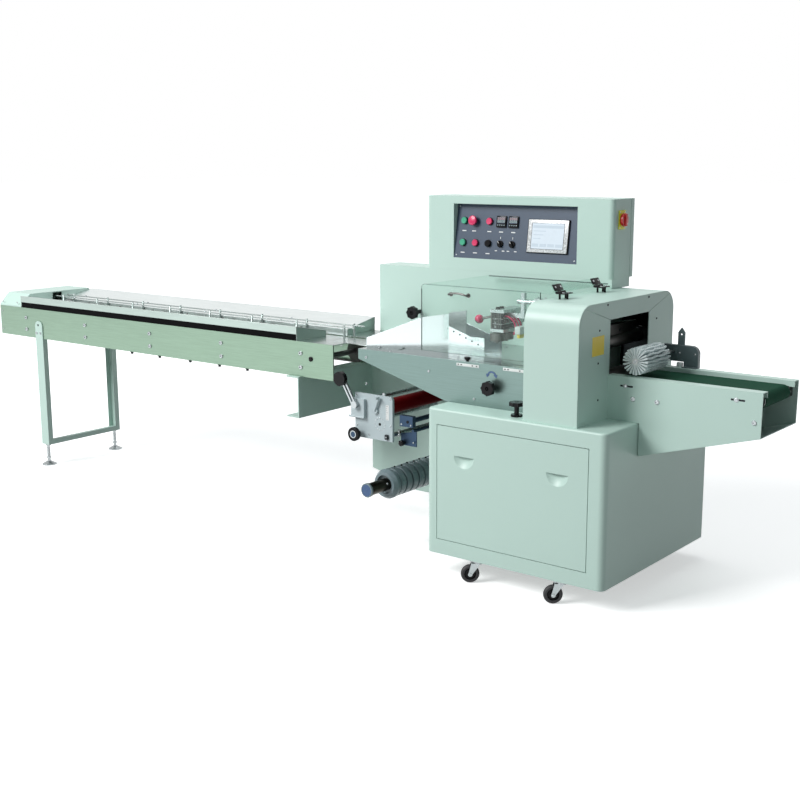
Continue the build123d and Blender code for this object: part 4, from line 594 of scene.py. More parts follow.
@labelled
class PanelSettings(bpy.types.PropertyGroup):
    """Instruments on the control panel."""

    plate: length("Thickness of the panel", 0.004)
    bezel: length("Radius of a button's ring", 0.0158)
    cap: length("Radius of a button's cap", 0.0140)
    height: length("Height of a button", 0.0118)
    columns: length("Distances of the buttons from the panel's left edge", 0.044, 0.108, 0.172)
    stop_column: length("Distance of the stop button from the left edge", 0.094)
    dial_columns: length("Distances of the controllers from the left edge", 0.231, 0.291)
    low_row: length("Height of the lower row up the panel", 0.066)
    high_row: length("Height of the upper row up the panel", 0.158)
    dial: length("Side of a square controller", 0.048)
    dial_height: length("How far a controller stands out", 0.008)
    screen_column: length("Distance of the screen's centre from the left edge", 0.462)
    screen_row: length("Height of the screen's centre up the panel", 0.105)
    screen_width: length("Width of the display's bezel", 0.196)
    screen_tall: length("Height of the display's bezel", 0.138)
    screen_height: length("How far the display stands out", 0.007)
    switch_radius: length("Radius of the main switch's handle", 0.026)
    switch_width: length("Width of the main switch's plate", 0.054)
    switch_tall: length("Height of the main switch's plate", 0.074)
    screw_inset: length("Distance of the panel's screws from its edges", 0.012)
    selector: length("Radius of a selector's knob", 0.0145)
    selector_turn: angle("Turn of the selectors' pointers", 35)
    stop_height: length("Height of the emergency stop", 0.0255)


@labelled
class HousingSettings(bpy.types.PropertyGroup):
    """Control box and rear housing."""

    lock_inset: length("Distance of a lock from the control box's side", 0.16)
    vent_depth: length("Depth of a vent slot's dark insert", 0.0012)
    vent_pitch: length("Distance from one vent slot of the rear housing to the next", 0.022)
    screw: length("Radius of the cover screws", 0.006)


@labelled
class HoodSettings(bpy.types.PropertyGroup):
    """Fittings of the sealer hood and the jaws."""

    screw: length("Radius of the side panel's screws", 0.0042)
    label_width: length("Width of the blank label", 0.085)
    label_tall: length("Height of the blank label", 0.070)
    cap: length("Radius of the jaw bearings' flanges", 0.031)
    # The dark inside of the hood is a painted-shade sheet
    liner: length("Thickness of the dark inside", 0.0010)
    liner_gap: length("Distance of the dark inside from the hood's outer faces", 0.0035)
    liner_turn: length("Distance of the dark inside from the hood's upper edges", 0.080)
    bolt: length("Radius of the jaws' bolts", 0.006)


@labelled
class TableSettings(bpy.types.PropertyGroup):
    """Apron, guard and forming table."""

    strip_width: length("Length of a bare label strip", 0.106)
    strip_tall: length("Height of a bare label strip", 0.011)
    dial_rise: length("Height of the arrow over the apron knob's axis", 0.040)
    dial: length("Radius of the arrow over the apron knob", 0.022)
    sheet: length("Thickness of the clear guard", 0.005)
    corner: length("Radius of the guard's front corner", 0.020)
    front_end: length("Distance of the front sheet's right end from the left edge", 0.546)
    sheet_lift: length("Height of the guard's top above the hood", 0.025)
    hinge_lean: angle("Lean of the guard's hinge leaves", 30)
    hinge_leaf: length("Thickness of a hinge leaf", 0.004)
    hinge_long: length("Length of a hinge leaf", 0.034)
    hinge_span: length("Width of a hinge", 0.060)
    handle_left: length("Distance of the handle from the guard's left edge", 0.145)
    handle_span: length("Distance between the handle's feet", 0.082)
    handle_drop: length("Distance of the handle below the guard's top", 0.028)
    handle_stand: length("How far the handle stands off", 0.022)
    handle_bar: length("Radius of the handle's bar", 0.0038)
    edge_line: length("Width of the guard's edges seen end on", 0.0011)
    hinge_screw: length("Radius of the hinge screws", 0.0045)
    screw: length("Radius of the table's screws", 0.005)


@labelled
class SealSettings(bpy.types.PropertyGroup):
    """Centre seal."""

    screw: length("Radius of the upper screws", 0.006)
    lead: length("Radius of the heater leads", 0.0038)
    block_low: length("Height of the bearing block above the wheels", 0.047)
    block_tall: length("Height of the bearing block", 0.065)
    block_left: length("Distance of the block from the unit's left end", 0.022)
    block_right: length("Distance of the block's right face from the unit's left end", 0.064)
    post: length("Radius of the guide posts", 0.0055)
    post_low: length("Height of the guide posts' feet above the wheels", 0.047)
    ball: length("Radius of the lever's ball", 0.0182)


@labelled
class KnobSettings(bpy.types.PropertyGroup):
    """Lobed hand knobs."""

    insert: length("Radius of the metal insert", 0.0075)
    disc: length("Radius of the disc in the film tension knob", 0.016)


@labelled
class InfeedSettings(bpy.types.PropertyGroup):
    """Infeed conveyor."""

    first: length("Distance of the first screws from the left end", 0.227)
    pitch: length("Distance between the pairs of screws", 0.491)
    pairs: number("Number of pairs of screws", 5)
    screw: length("Radius of the side plate's screws", 0.010)
    high: length("Distance of the upper screws below the top edge", 0.051)
    low: length("Distance of the lower screws below the top edge", 0.112)
    tray_short: length("How much shorter the front tray is than the rear one", 0.055)
    tray_lip: length("Height of a tray's outer lip", 0.033)
    tray_inner: length("Width of a tray", 0.1905)
    tray_low: length("Height of a tray's inner edge", 0.025)
    tray_end: length("Thickness of a tray's closed end", 0.0015)
    link_pitch: length("Pitch of the roller chain", 0.0127)
    link_tall: length("Height of a link plate", 0.0078)
    link_sheet: length("Thickness of a link plate", 0.0016)
    chain_drop: length("Distance of the chain's top below the deck", 0.010)
    chain_radius: length("Outer radius of the chain's end turns", 0.050)
    chain_sheet: length("Thickness of the chain band", 0.008)
    pusher_pitch: length("Distance from one pusher to the next", 0.254)
    pusher_sheet: length("Thickness of a pusher", 0.004)
    teeth: number("Number of teeth of a sprocket", 11)
    sprocket: length("Thickness of a sprocket", 0.005)
    foot_nut: length("Radius of a levelling foot's lock nuts", 0.012)
    foot_thread: length("Pitch of a levelling foot's thread", 0.002)


@labelled
class FilmSettings(bpy.types.PropertyGroup):
    """Film unit and reel."""

    plate_face: length("Distance of the plate's front face from its box's front", 0.031)
    dots: length("Radius of the circle of small screws", 0.026)
    nip_knob: length("Radius of the nip lever's knob", 0.029)
    ring_pitch: length("Distance from one reel ring to the next", 0.042)
    ring_start: length("Distance from the collar's front to the first ring's centre", 0.056)
    rings: number("Number of reel rings", 8)
    ring_screw: length("Radius of the head of a ring's clamp screw", 0.0042)
    ring_turn: angle("Turns of the clamp screws from the right, which alternate", 78, 75)
    cap_rim: length("How much wider the cap is than the shaft", 0.0035)
    cap_long: length("Length of the shaft's cap", 0.012)


@labelled
class OutfeedSettings(bpy.types.PropertyGroup):
    """Outfeed conveyor and brush."""

    screw: length("Radius of the side plate's screws", 0.0090)
    slot_long: length("Length of the tension slots", 0.052)
    slot_tall: length("Height of the tension slots", 0.007)
    slot_drop: length("Distance of the tension slots below the frame's top", 0.034)
    blades: number("Number of brush blades", 22)
    strips: number("Number of strips along one blade", 26)
    brush_long: length("Length of the brush", 0.185)
    hub: length("Radius of the brush's hub", 0.021)
    core: length("Radius of the core seen on the brush's front", 0.0115)
    root: length("Thickness of a blade at its root", 0.0024)
    tip: length("Thickness of a blade near its tip", 0.0060)


@labelled
class StageSettings(bpy.types.PropertyGroup):
    """Floor, light and camera."""

    floor_colour: colour("Colour of the floor", 0.90, 0.90, 0.90)
    floor_reach: length("Half width of the floor", 60.0)
    camera_place: length("Where the camera stands", 3.6487, -4.0954, 1.6174)
    camera_turn: angle("Left turn, tilt down and roll of the camera", 38.32, 11.33, -0.205)
    lens: bpy.props.FloatProperty(description="Focal length", default=55.21, unit="CAMERA")
    floor_bounce: share("Share of the floor's colour that lights the machine", 0.30)
    floor_glow: share("Lift of the floor towards the white backdrop", 0.45)
    floor_spread: share("How fast that lift grows away from the machine", 0.04)
    sky: share("Strength of the even light", 0.19)
    key: power("Power of the main lamp", 980.0)
    top: power("Power of the upper lamp", 160.0)
    side: power("Power of the side lamp", 22.0)


# ---- Operators ----
class WRAPPER_OT_coats(bpy.types.Operator):
    """Give every frame node its surface"""

    bl_idname = "wrapper.coats"
    bl_label = "Coat the Frame"

    coats = {
        "mint": (
            "base_cabinet", "front_panel", "main_plate", "rear_housing", "infeed_bracket", "control_box",
            "sealer_hood", "hood_side_panels", "infeed_legs", "infeed_end_cover", "outfeed_frame"),
        "side_steel": ("infeed_side_plates",),
        "film_grey": ("film_unit_plate",),
        "slate": ("control_panel",),
        "arm_grey": ("brush_arm",),
        "apron_steel": ("front_apron",),
        "deck_steel": ("table_plate", "infeed_deck", "infeed_guides", "outfeed_bed"),
        "tray_steel": ("infeed_trays",),
        "wing_steel": ("former_wings",),
        "zinc": (
            "caster_plates", "caster_fork_1", "caster_fork_2", "caster_fork_3", "caster_fork_4",
            "levelling_feet", "film_cross_rods", "nip_lever", "centre_seal_unit"),
        "tool_steel": (
            "seal_lever", "upper_jaw", "lower_jaw", "seal_wheel_front", "seal_wheel_rear", "infeed_shafts",
            "pusher_chain"),
        "black_steel": ("jaw_bearing_blocks",),
        "blue_alloy": ("sensor_block",),
        "bronze": ("reel_shaft",),
        "black": (
            "apron_knob", "wall_knob", "clamp_knob", "tension_knob", "selector_knob_1", "selector_knob_2",
            "cover_hinges", "panel_instruments"),
        "rubber": ("caster_wheel_1", "caster_wheel_2", "caster_wheel_3", "caster_wheel_4"),
        "red_rubber": ("rubber_roller",),
        "red": ("emergency_stop", "main_switch_knob"),
        "ring_grey": ("reel_rings",),
        "bristle": ("brush_roller",),
        "belt": ("outfeed_belt",),
        "clear": ("guard_cover",),
    }

    def execute(self, context):
        coated = {node: coat for coat, nodes in self.coats.items() for node in nodes}
        missing = set(frame["nodes"]) - set(coated)
        if missing:
            raise RuntimeError(f"nodes without a surface: {sorted(missing)}")
        for name, node in frame["nodes"].items():
            if not node.material_slots:
                node.data.materials.append(None)
            for place in node.material_slots:
                place.material = finish(coated[name])
        return {"FINISHED"}


class Builder:
    """An operator that builds pieces from one group of settings."""

    def execute(self, context):
        self.build(getattr(context.scene, self.group))
        return {"FINISHED"}


class WRAPPER_OT_casters(Builder, bpy.types.Operator):
    """Build the caster wheels with tyre, disc and axle nuts"""

    bl_idname = "wrapper.casters"
    bl_label = "Casters"
    group = "wrapper_casters"

    def build(self, s):
        plates = Piece("zinc")
        for i in range(1, 5):
            centre, axis = joint(f"caster_spin_{i}")
            lo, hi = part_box(f"caster_wheel_{i}")
            place, radius, t = facing(centre, axis), (hi.z - lo.z) / 2, s.tread
            tyre = [(s.hub, -t - 0.003), (radius - 0.006, -t - 0.0035), (radius - 0.0015, -t), (radius, -t * 0.4)]
            disc = [(0.0052, -0.0122), (0.009, -0.0122), (0.0105, -0.006), (s.hub - 0.004, -0.006), (s.hub, -t - 0.003)]
            wheel = Piece("rubber").turned(mirrored(tyre), place, 56, ring=True)
            wheel.use("black").turned(mirrored(disc), place, 40, ring=True)
            wheel.done(f"caster_tyre_{i}", f"wheel_{i}", "rubber_black", f"caster_wheel_{i}")
            nuts = Piece("zinc")
            for out in (-axis, axis):
                nuts.bolt(centre + out * s.axle, out, s.nut, 0.0035)
            nuts.done(f"caster_nuts_{i}", f"fork_{i}", "zinc")
            pivot, _ = joint(f"caster_swivel_{i}")
            for x, y in corners(s.plate_bolts, s.plate_bolts):
                plates.bolt(pivot + Vector((x, y, 0)), DOWN, 0.0045, 0.003)
        plates.done("caster_plate_bolts", "machine", "zinc")


class WRAPPER_OT_panel(Builder, bpy.types.Operator):
    """Build the buttons, controllers and display of the control panel"""

    bl_idname = "wrapper.panel"
    bl_label = "Control Panel"
    group = "wrapper_panel"

    def place(self, s, across, up):
        """Place on the tilted panel."""
        lo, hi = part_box("control_panel")
        rise = Vector((0, hi.y - s.plate - lo.y, hi.z - lo.z)).normalized()
        return facing(Vector((lo.x + across, lo.y, lo.z)) + rise * up, RIGHT.cross(rise), rise)

    def controller(self, panel, place, d, h):
        """Square controller with two rows of digits over four keys."""
        rows = [
            ("black", -1, -1, 1, 1, 0, h - 0.001, 0.0016),
            ("slate", -0.8, -0.28, 0.8, 0.8, h - 0.002, h - 0.0006, 0),
        ]
        for coat, low in (("digits_red", 0.34), ("digits_green", -0.12)):
            for x in (-0.6, -0.2, 0.2, 0.6):
                strokes = [(x - 0.13, low, 0.26, 0.05), (x - 0.13, low + 0.30, 0.26, 0.05)]
                strokes += [(x - 0.13, low, 0.052, 0.35), (x + 0.078, low, 0.052, 0.35)]
                rows += [(coat, a, b, a + wide, b + tall, h - 0.001, h - 0.0003, 0) for a, b, wide, tall in strokes]
        for x in (-0.66, -0.22, 0.22, 0.66):
            rows.append(("ring_grey", x - 0.12, -0.72, x + 0.12, -0.5, h - 0.002, h, 0.0004))
        panel.plates(place, d, d, rows)

    def display(self, panel, s):
        h = s.screen_height
        rows = [
            ("black", -1, -1, 1, 1, 0, h - 0.0010, 0.0016),
            ("speckled", -0.97, -0.95, 0.95, 0.97, h - 0.003, h - 0.0004, 0.0008),
            ("black", -0.80, -0.76, 0.78, 0.78, h - 0.002, h - 0.0002, 0),
            ("screen", -0.78, -0.74, 0.76, 0.76, h - 0.001, h, 0),
        ]
        fields = [(-0.74, 0.48, 0.74, 0.64)] + [(-0.74 + 0.38 * k, -0.62, -0.42 + 0.38 * k, -0.44) for k in range(4)]
        fields += [(-0.70, 0.28 - 0.22 * k, -0.1 - 0.12 * k, 0.33 - 0.22 * k) for k in range(3)]
        rows += [("screen_blue", *field, h - 0.0008, h + 0.0001, 0) for field in fields]
        panel.plates(self.place(s, s.screen_column, s.screen_row), s.screen_width / 2, s.screen_tall / 2, rows)

    def legends(self, s):
        """Bare strokes under the buttons, and the panel's corner screws."""
        legends, (first, second, third), size = Piece("white"), s.columns, 0.0008
        columns = ((s.high_row, (first, s.stop_column, third, *s.dial_columns)), (s.low_row, (first, second, third)))
        for up, across in columns:
            for x in across:
                legends.box((-0.010, -0.0445, 0), (0.010, -0.0405, size), 0.0, self.place(s, x, up))
        for x in s.dial_columns:
            place = self.place(s, x, s.low_row)
            for dx in (-0.018, 0.018):
                legends.box((dx - 0.006, -0.0305, 0), (dx + 0.006, -0.0270, size), 0.0, place)
            legends.box((-0.0012, 0.021, 0), (0.0012, 0.030, size), 0.0, place)
        lo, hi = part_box("control_panel")
        for x in (s.screw_inset, hi.x - lo.x - s.screw_inset):
            for up in (s.screw_inset, 0.218):
                place = self.place(s, x, up)
                legends.use("zinc").screw(place.translation, place.col[2].to_3d(), 0.0035)
        legends.done("panel_legends", "machine", "plastic_white")

    def build(self, s):
        panel, (first, second, third) = Piece("black_steel"), s.columns
        for across, up, coat in (
            (first, s.high_row, "green"), (third, s.high_row, "red"), (first, s.low_row, "green"),
            (second, s.low_row, "red"), (third, s.low_row, "black"),
        ):
            place, b, c, h = self.place(s, across, up), s.bezel, s.cap, s.height
            ring = [(b, 0), (b, 0.003), (b - 0.0015, 0.0045), (c + 0.0012, 0.0045), (c + 0.0012, 0)]
            panel.use("black_steel").turned(ring, place, 32, ring=True)
            panel.use(coat).turned([(c, 0), (c, h - 0.0015), (c - 0.0015, h), (0, h - 0.0004)], place, 28)
        for across in s.dial_columns:
            self.controller(panel, self.place(s, across, s.high_row), s.dial / 2, s.dial_height)
        self.display(panel, s)
        origin, axis = joint("main_switch_turn")
        switch = facing(origin, axis)
        w, t = s.switch_width / 2, s.switch_tall / 2
        panel.use("lime").box((-w, -t, 0), (w, t, 0.004), 0.0015, switch)
        for x, y in corners(w * 0.78, t * 0.82):
            panel.use("zinc").screw(switch @ Vector((x, y, 0.0035)), axis, 0.003)
        panel.done("panel_fittings", "machine", "plastic_black", "panel_instruments")
        self.legends(s)
        for i in (1, 2):
            place = facing(*joint(f"selector_{i}_turn"))
            r, h = s.selector, 0.0135
            knob = Piece("black").turned([(r, 0.0002), (r, 0.0042), (r - 0.0015, 0.0055), (0, 0.0055)], place, 36)
            turn = place @ Matrix.Rotation(s.selector_turn, 4, "Z")
            knob.box((-0.0042, -r + 0.001, 0.004), (0.0042, r - 0.001, h), 0.0012, turn)
            knob.use("white").box((-0.0008, 0.003, h - 0.0005), (0.0008, r - 0.0025, h + 0.0002), 0.0, turn)
            knob.done(f"selector_grip_{i}", f"selector_{i}", "plastic_black", f"selector_knob_{i}")
        place, top = self.place(s, s.stop_column, s.high_row), s.stop_height
        mushroom = [(0.0108, 0.0), (0.0108, 0.014), (0.0185, 0.0145), (0.0208, 0.0165), (0.0208, 0.0195),
                    (0.0190, 0.0230), (0.0140, top - 0.0006), (0, top)]
        button = Piece("red").turned(mushroom, place, 48).use("white")
        for k in range(3):
            turn = place @ Matrix.Rotation(tau * k / 3, 4, "Z") @ Matrix.Translation((0, 0, top - 0.0014))
            button.prism(arc(0.0135, 10, 80, 8) + arc(0.0118, 80, 10, 8), 0.0006, turn)
        button.done("stop_mushroom", "stop_button", "plastic_red", "emergency_stop")
        _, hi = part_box("main_switch_knob")
        reach, r = hi.x - origin.x, s.switch_radius
        disc = [(r * 0.8, 0.0042), (r * 0.8, 0.009), (r, 0.010), (r, 0.0165), (r - 0.002, 0.018), (0, 0.018)]
        knob = Piece("switch_red").turned(disc, switch, 44)
        knob.box((-0.0055, -r + 0.002, 0.015), (0.0055, r - 0.002, reach), 0.0016, switch)
        knob.use("white").box((-0.0008, r * 0.3, reach - 0.0004), (0.0008, r - 0.004, reach), 0.0, switch)
        knob.done("main_switch_handle", "main_switch", "plastic_red", "main_switch_knob")


class WRAPPER_OT_box(Builder, bpy.types.Operator):
    """Add locks, screws and vents to the control box and the rear housing"""

    bl_idname = "wrapper.box"
    bl_label = "Box and Housing"
    group = "wrapper_housing"

    def build(self, s):
        lo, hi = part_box("control_box")
        fittings = Piece("zinc")
        lock = [(0.010, -0.002), (0.010, 0.0), (0.004, 0.0004), (0.004, -0.001), (0.0, -0.001)]
        for x in (lo.x + s.lock_inset, hi.x - s.lock_inset):
            fittings.turned(lock, facing((x, hi.y, lo.z + 0.05), REAR), 24)
        fittings.use("black")
        # Vent slots of the control box: flush dark inserts, painted shade of the openings
        for i in range(7):
            fittings.slot((hi.x - 0.20, hi.y - s.vent_depth, lo.z + 0.10 + 0.018 * i), REAR, 0.16, 0.007, s.vent_depth)
        lo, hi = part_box("rear_housing")
        # Vent slots of the rear housing: flush dark inserts, painted shade of the openings
        for i in range(8):
            for x, z in ((0.40, lo.z + 0.22), (0.95, hi.z - 0.36)):
                vent = (lo.x + x, hi.y - s.vent_depth, z + s.vent_pitch * i)
                fittings.slot(vent, REAR, 0.22, 0.008, s.vent_depth)
        fittings.use("zinc")
        for x in (0.11, 0.72):
            for z in (0.12, 0.62):
                fittings.screw((lo.x + x, hi.y - 0.003, lo.z + z), REAR, s.screw)
        fittings.done("housing_fittings", "machine", "zinc")


class WRAPPER_OT_hood(Builder, bpy.types.Operator):
    """Add the hood's screws, blank label and painted-shade liner, and the jaw bearings' flanges"""

    bl_idname = "wrapper.hood"
    bl_label = "Sealer Hood"
    group = "wrapper_hood"

    def build(self, s):
        lo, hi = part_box("hood_side_panels")
        hood = Piece("black_steel")
        for y, z in ((0.145, 0.333), (0.140, 0.215), (0.145, 0.080), (0.588, 0.331), (0.588, 0.170), (0.517, 0.420),
                     (0.200, 0.420)):
            hood.screw((hi.x - 0.0006, lo.y + y, lo.z + z), RIGHT, s.screw)
        label = facing((hi.x, lo.y + 0.137, (lo.z + hi.z) / 2 + 0.063), RIGHT)
        w, t = s.label_width / 2, s.label_tall / 2
        hood.use("yellow").box((-w, -t, 0), (w, t, 0.0008), 0.0, label).use("liner")
        # Near-black sheets inside the hood, on its walls, roof and floor: painted shade
        lo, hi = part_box("sealer_hood")
        x0, x1, skin, wall = lo.x + 0.004, hi.x - 0.001, s.liner, s.liner_gap
        for y in (lo.y + wall, hi.y - wall - skin):
            hood.box((x0, y, lo.z + 0.002), (x1, y + skin, hi.z - s.liner_turn))
        hood.box((x0, lo.y + s.liner_turn, hi.z - wall - skin), (x1, hi.y - s.liner_turn, hi.z - wall))
        hood.box((lo.x + 0.006, lo.y + 0.01, lo.z + 0.0005), (x1, hi.y - 0.01, lo.z + 0.0015))
        hood.done("hood_fittings", "machine", "zinc")
        bearings = Piece("alloy")
        lo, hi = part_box("jaw_bearing_blocks")
        for jaw in ("upper_jaw", "lower_jaw"):
            centre, _ = joint(f"{jaw}_spin")
            for y, out in ends(lo, hi):
                place = facing((centre.x, y, centre.z), out)
                ring = [(0.0185, 0), (s.cap, 0), (s.cap, 0.006), (0.026, 0.009), (0.0185, 0.009)]
                bearings.use("alloy").turned(ring, place, 40, ring=True).use("zinc")
                for a, b in circle(4, 0.0285, tau / 8):
                    bearings.screw(place @ Vector((a, b, 0.0055)), out, 0.0022)
        bearings.done("jaw_bearing_flanges", "machine", "aluminium")
        for jaw, up in (("upper_jaw", 1), ("lower_jaw", -1)):
            lo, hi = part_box(jaw)
            centre, _ = joint(f"{jaw}_spin")
            bolts = Piece("black_steel")
            for side in (LEFT, RIGHT):
                for k in range(5):
                    place = (centre.x + side.x * 0.013, lo.y + 0.09 + 0.105 * k, centre.z + up * 0.040)
                    bolts.screw(place, side, s.bolt)
            bolts.done(f"{jaw}_bolts", f"{jaw}_body", "steel_dark")


class WRAPPER_OT_guard(Builder, bpy.types.Operator):
    """Build the clear guard with its bow handle and hinge leaves"""

    bl_idname = "wrapper.guard"
    bl_label = "Clear Guard"
    group = "wrapper_table"

    def build(self, s):
        lo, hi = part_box("guard_cover")
        pivot, _ = joint("cover_lift")
        hinge_lo, hinge_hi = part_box("cover_hinges")
        top, front, r = hinge_lo.z + s.sheet_lift, lo.y + s.handle_stand + s.handle_bar, s.corner
        right, end, back = s.front_end + lo.x, pivot.x - 0.008, front + s.sheet
        rim = [(lo.x + r + x, top - r + z) for x, z in arc(r, 90, 180, 8)]
        guard = Piece("clear")
        guard.prism([(lo.x, lo.z), (right, lo.z), (right, top)] + rim, s.sheet, facing((0, back, 0), FRONT))
        guard.box((lo.x + r, back, top - s.sheet), (end, hi.y, top))
        lean = Matrix.Translation(pivot) @ Matrix.Rotation(-s.hinge_lean, 4, "Y")
        y0, y1, leaf, long = hinge_lo.y - pivot.y, hinge_hi.y - pivot.y, s.hinge_leaf, s.hinge_long
        guard.box((-leaf - 0.001 - s.sheet, y0, leaf), (-leaf - 0.001, y1, long), 0.0, lean).use("clear_edge")
        e, skin = s.edge_line, 0.0001
        for low, high in (
            ((lo.x - skin, front - skin, lo.z), (lo.x + e, back, top - r)),
            ((lo.x, front - skin, lo.z - skin), (right, back, lo.z + e)),
            ((right - e, front - skin, lo.z), (right, back, top)),
            ((lo.x + r, front - skin, top - e), (right, back, top + skin)),
            ((lo.x + r, hi.y - e, top - s.sheet), (end, hi.y, top)),
        ):
            guard.box(low, high)
        guard.tube([(x, front, z) for x, z in rim], 0.0008, 6).use("tool_steel")
        x0 = lo.x + s.handle_left
        x1, z, y, drop = x0 + s.handle_span, top - s.handle_drop, front - s.handle_stand, 0.004
        bow = [(x0, front, z - drop), (x0, y + 0.006, z - drop), (x0 + 0.008, y, z), ((x0 + x1) / 2, y, z + drop),
               (x1 - 0.008, y, z), (x1, y + 0.006, z - drop), (x1, front, z - drop)]
        guard.tube(smooth_path(bow, 5), s.handle_bar)
        for x in (x0, x1):
            guard.pin((x, front, z - drop), FRONT, 0.0085, 0.003)
        half, third = s.hinge_span / 2, s.hinge_span / 6 - 0.0005
        screws = Piece("zinc")
        for y in (y0 + half, y1 - half):
            guard.use("black").box((-leaf - 0.001, y - half, 0.0075), (-0.001, y + half, long), 0.0012, lean)
            guard.box((-leaf - 0.001, y - third, 0.0), (-0.001, y + third, 0.0080), 0.0, lean)
            knuckle = [(0.0021, -third), (0.005, -third), (0.005, third), (0.0021, third)]
            guard.turned(knuckle, facing(pivot + Vector((0, y, 0)), REAR), 28, ring=True).use("zinc")
            for dy in (-0.018, 0.018):
                guard.screw(lean @ Vector((-0.001, y + dy, long * 0.62)), lean.to_3x3() @ RIGHT, s.hinge_screw)
                screws.screw((pivot.x + 0.022, pivot.y + y + dy, pivot.z - 0.0012), UP, s.hinge_screw)
        guard.done("clear_guard", "cover", "clear", "guard_cover")
        screws.done("hinge_screws", "machine", "zinc")


class WRAPPER_OT_table(Builder, bpy.types.Operator):
    """Add the apron's scale, strips and screws, and the table's fittings"""

    bl_idname = "wrapper.table"
    bl_label = "Apron and Table"
    group = "wrapper_table"

    def build(self, s):
        lo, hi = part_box("front_apron")
        cabinet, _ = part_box("base_cabinet")
        y, w, t, strips = lo.y - 0.0008, s.strip_width, s.strip_tall, ((0.046, -0.019), (0.262, -0.016))
        apron = Piece("white")
        for x, z in strips:
            apron.box((cabinet.x + x, y, hi.z + z), (cabinet.x + x + w, lo.y + 0.001, hi.z + z + t), 0.0002)
        centre, _ = joint("apron_knob_turn")
        place, depth = facing((centre.x - 0.006, lo.y, centre.z + s.dial_rise), FRONT), 0.0010
        apron.use("blue").prism(arc(s.dial, 25, 155, 20) + arc(s.dial - 0.007, 155, 25, 20), depth, place)
        for side in (-1, 1):
            tip = [(side * (s.dial + a), b) for a, b in ((0.005, 0.010), (-0.014, 0.007), (-0.001, -0.004))]
            apron.prism(tip, depth, place)
        apron.use("black")
        for x, z in strips:
            for dx in (0.006, 0.020, w - 0.034, w - 0.014):
                left, low = cabinet.x + x + dx, hi.z + z + t * 0.3
                apron.box((left, y - 0.0002, low), (left + 0.006, y + 0.0004, low + t * 0.4))
        apron.use("zinc")
        for x, z in ((-0.089, 0.776), (-0.410, 0.800), (-0.410, 0.690), (0.395, 0.800), (0.395, 0.690), (0.130, 0.690)):
            apron.screw((cabinet.x + x, lo.y, z), FRONT, 0.0055)
        grip = [(0.006, 0), (0.006, 0.005), (0.012, 0.006), (0.013, 0.013), (0.011, 0.016), (0, 0.016)]
        apron.use("black").turned(grip, facing((cabinet.x + 0.086, lo.y + 0.017, hi.z), UP), 24)
        apron.done("apron_fittings", "machine", "plastic_white")
        lo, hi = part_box("table_plate")
        table = Piece("black_steel")
        # Slots in the table: flush dark inserts, painted shade of the openings
        for x in (0.16, 0.30):
            table.slot((cabinet.x + x, lo.y + 0.05, hi.z), UP, 0.060, 0.006, 0.0003, REAR)
        table.use("zinc")
        for x in (-0.56, -0.30, 0.02, 0.39):
            for y in (lo.y + 0.016, hi.y - 0.016):
                table.screw((cabinet.x + x, y, hi.z - 0.001), UP, s.screw)
        lo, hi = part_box("former_wings")
        for x in (lo.x + 0.06, hi.x - 0.05):
            for y in (lo.y + 0.012, hi.y - 0.012):
                table.screw((x, y, lo.z + 0.0015), UP, s.screw)
        table.use("black_steel")
        for k in range(6):
            table.screw((lo.x + 0.330 + 0.030 * k, lo.y + 0.120, hi.z - 0.060 - 0.0105 * k), FRONT, 0.0035)
        table.done("table_fittings", "machine", "zinc")


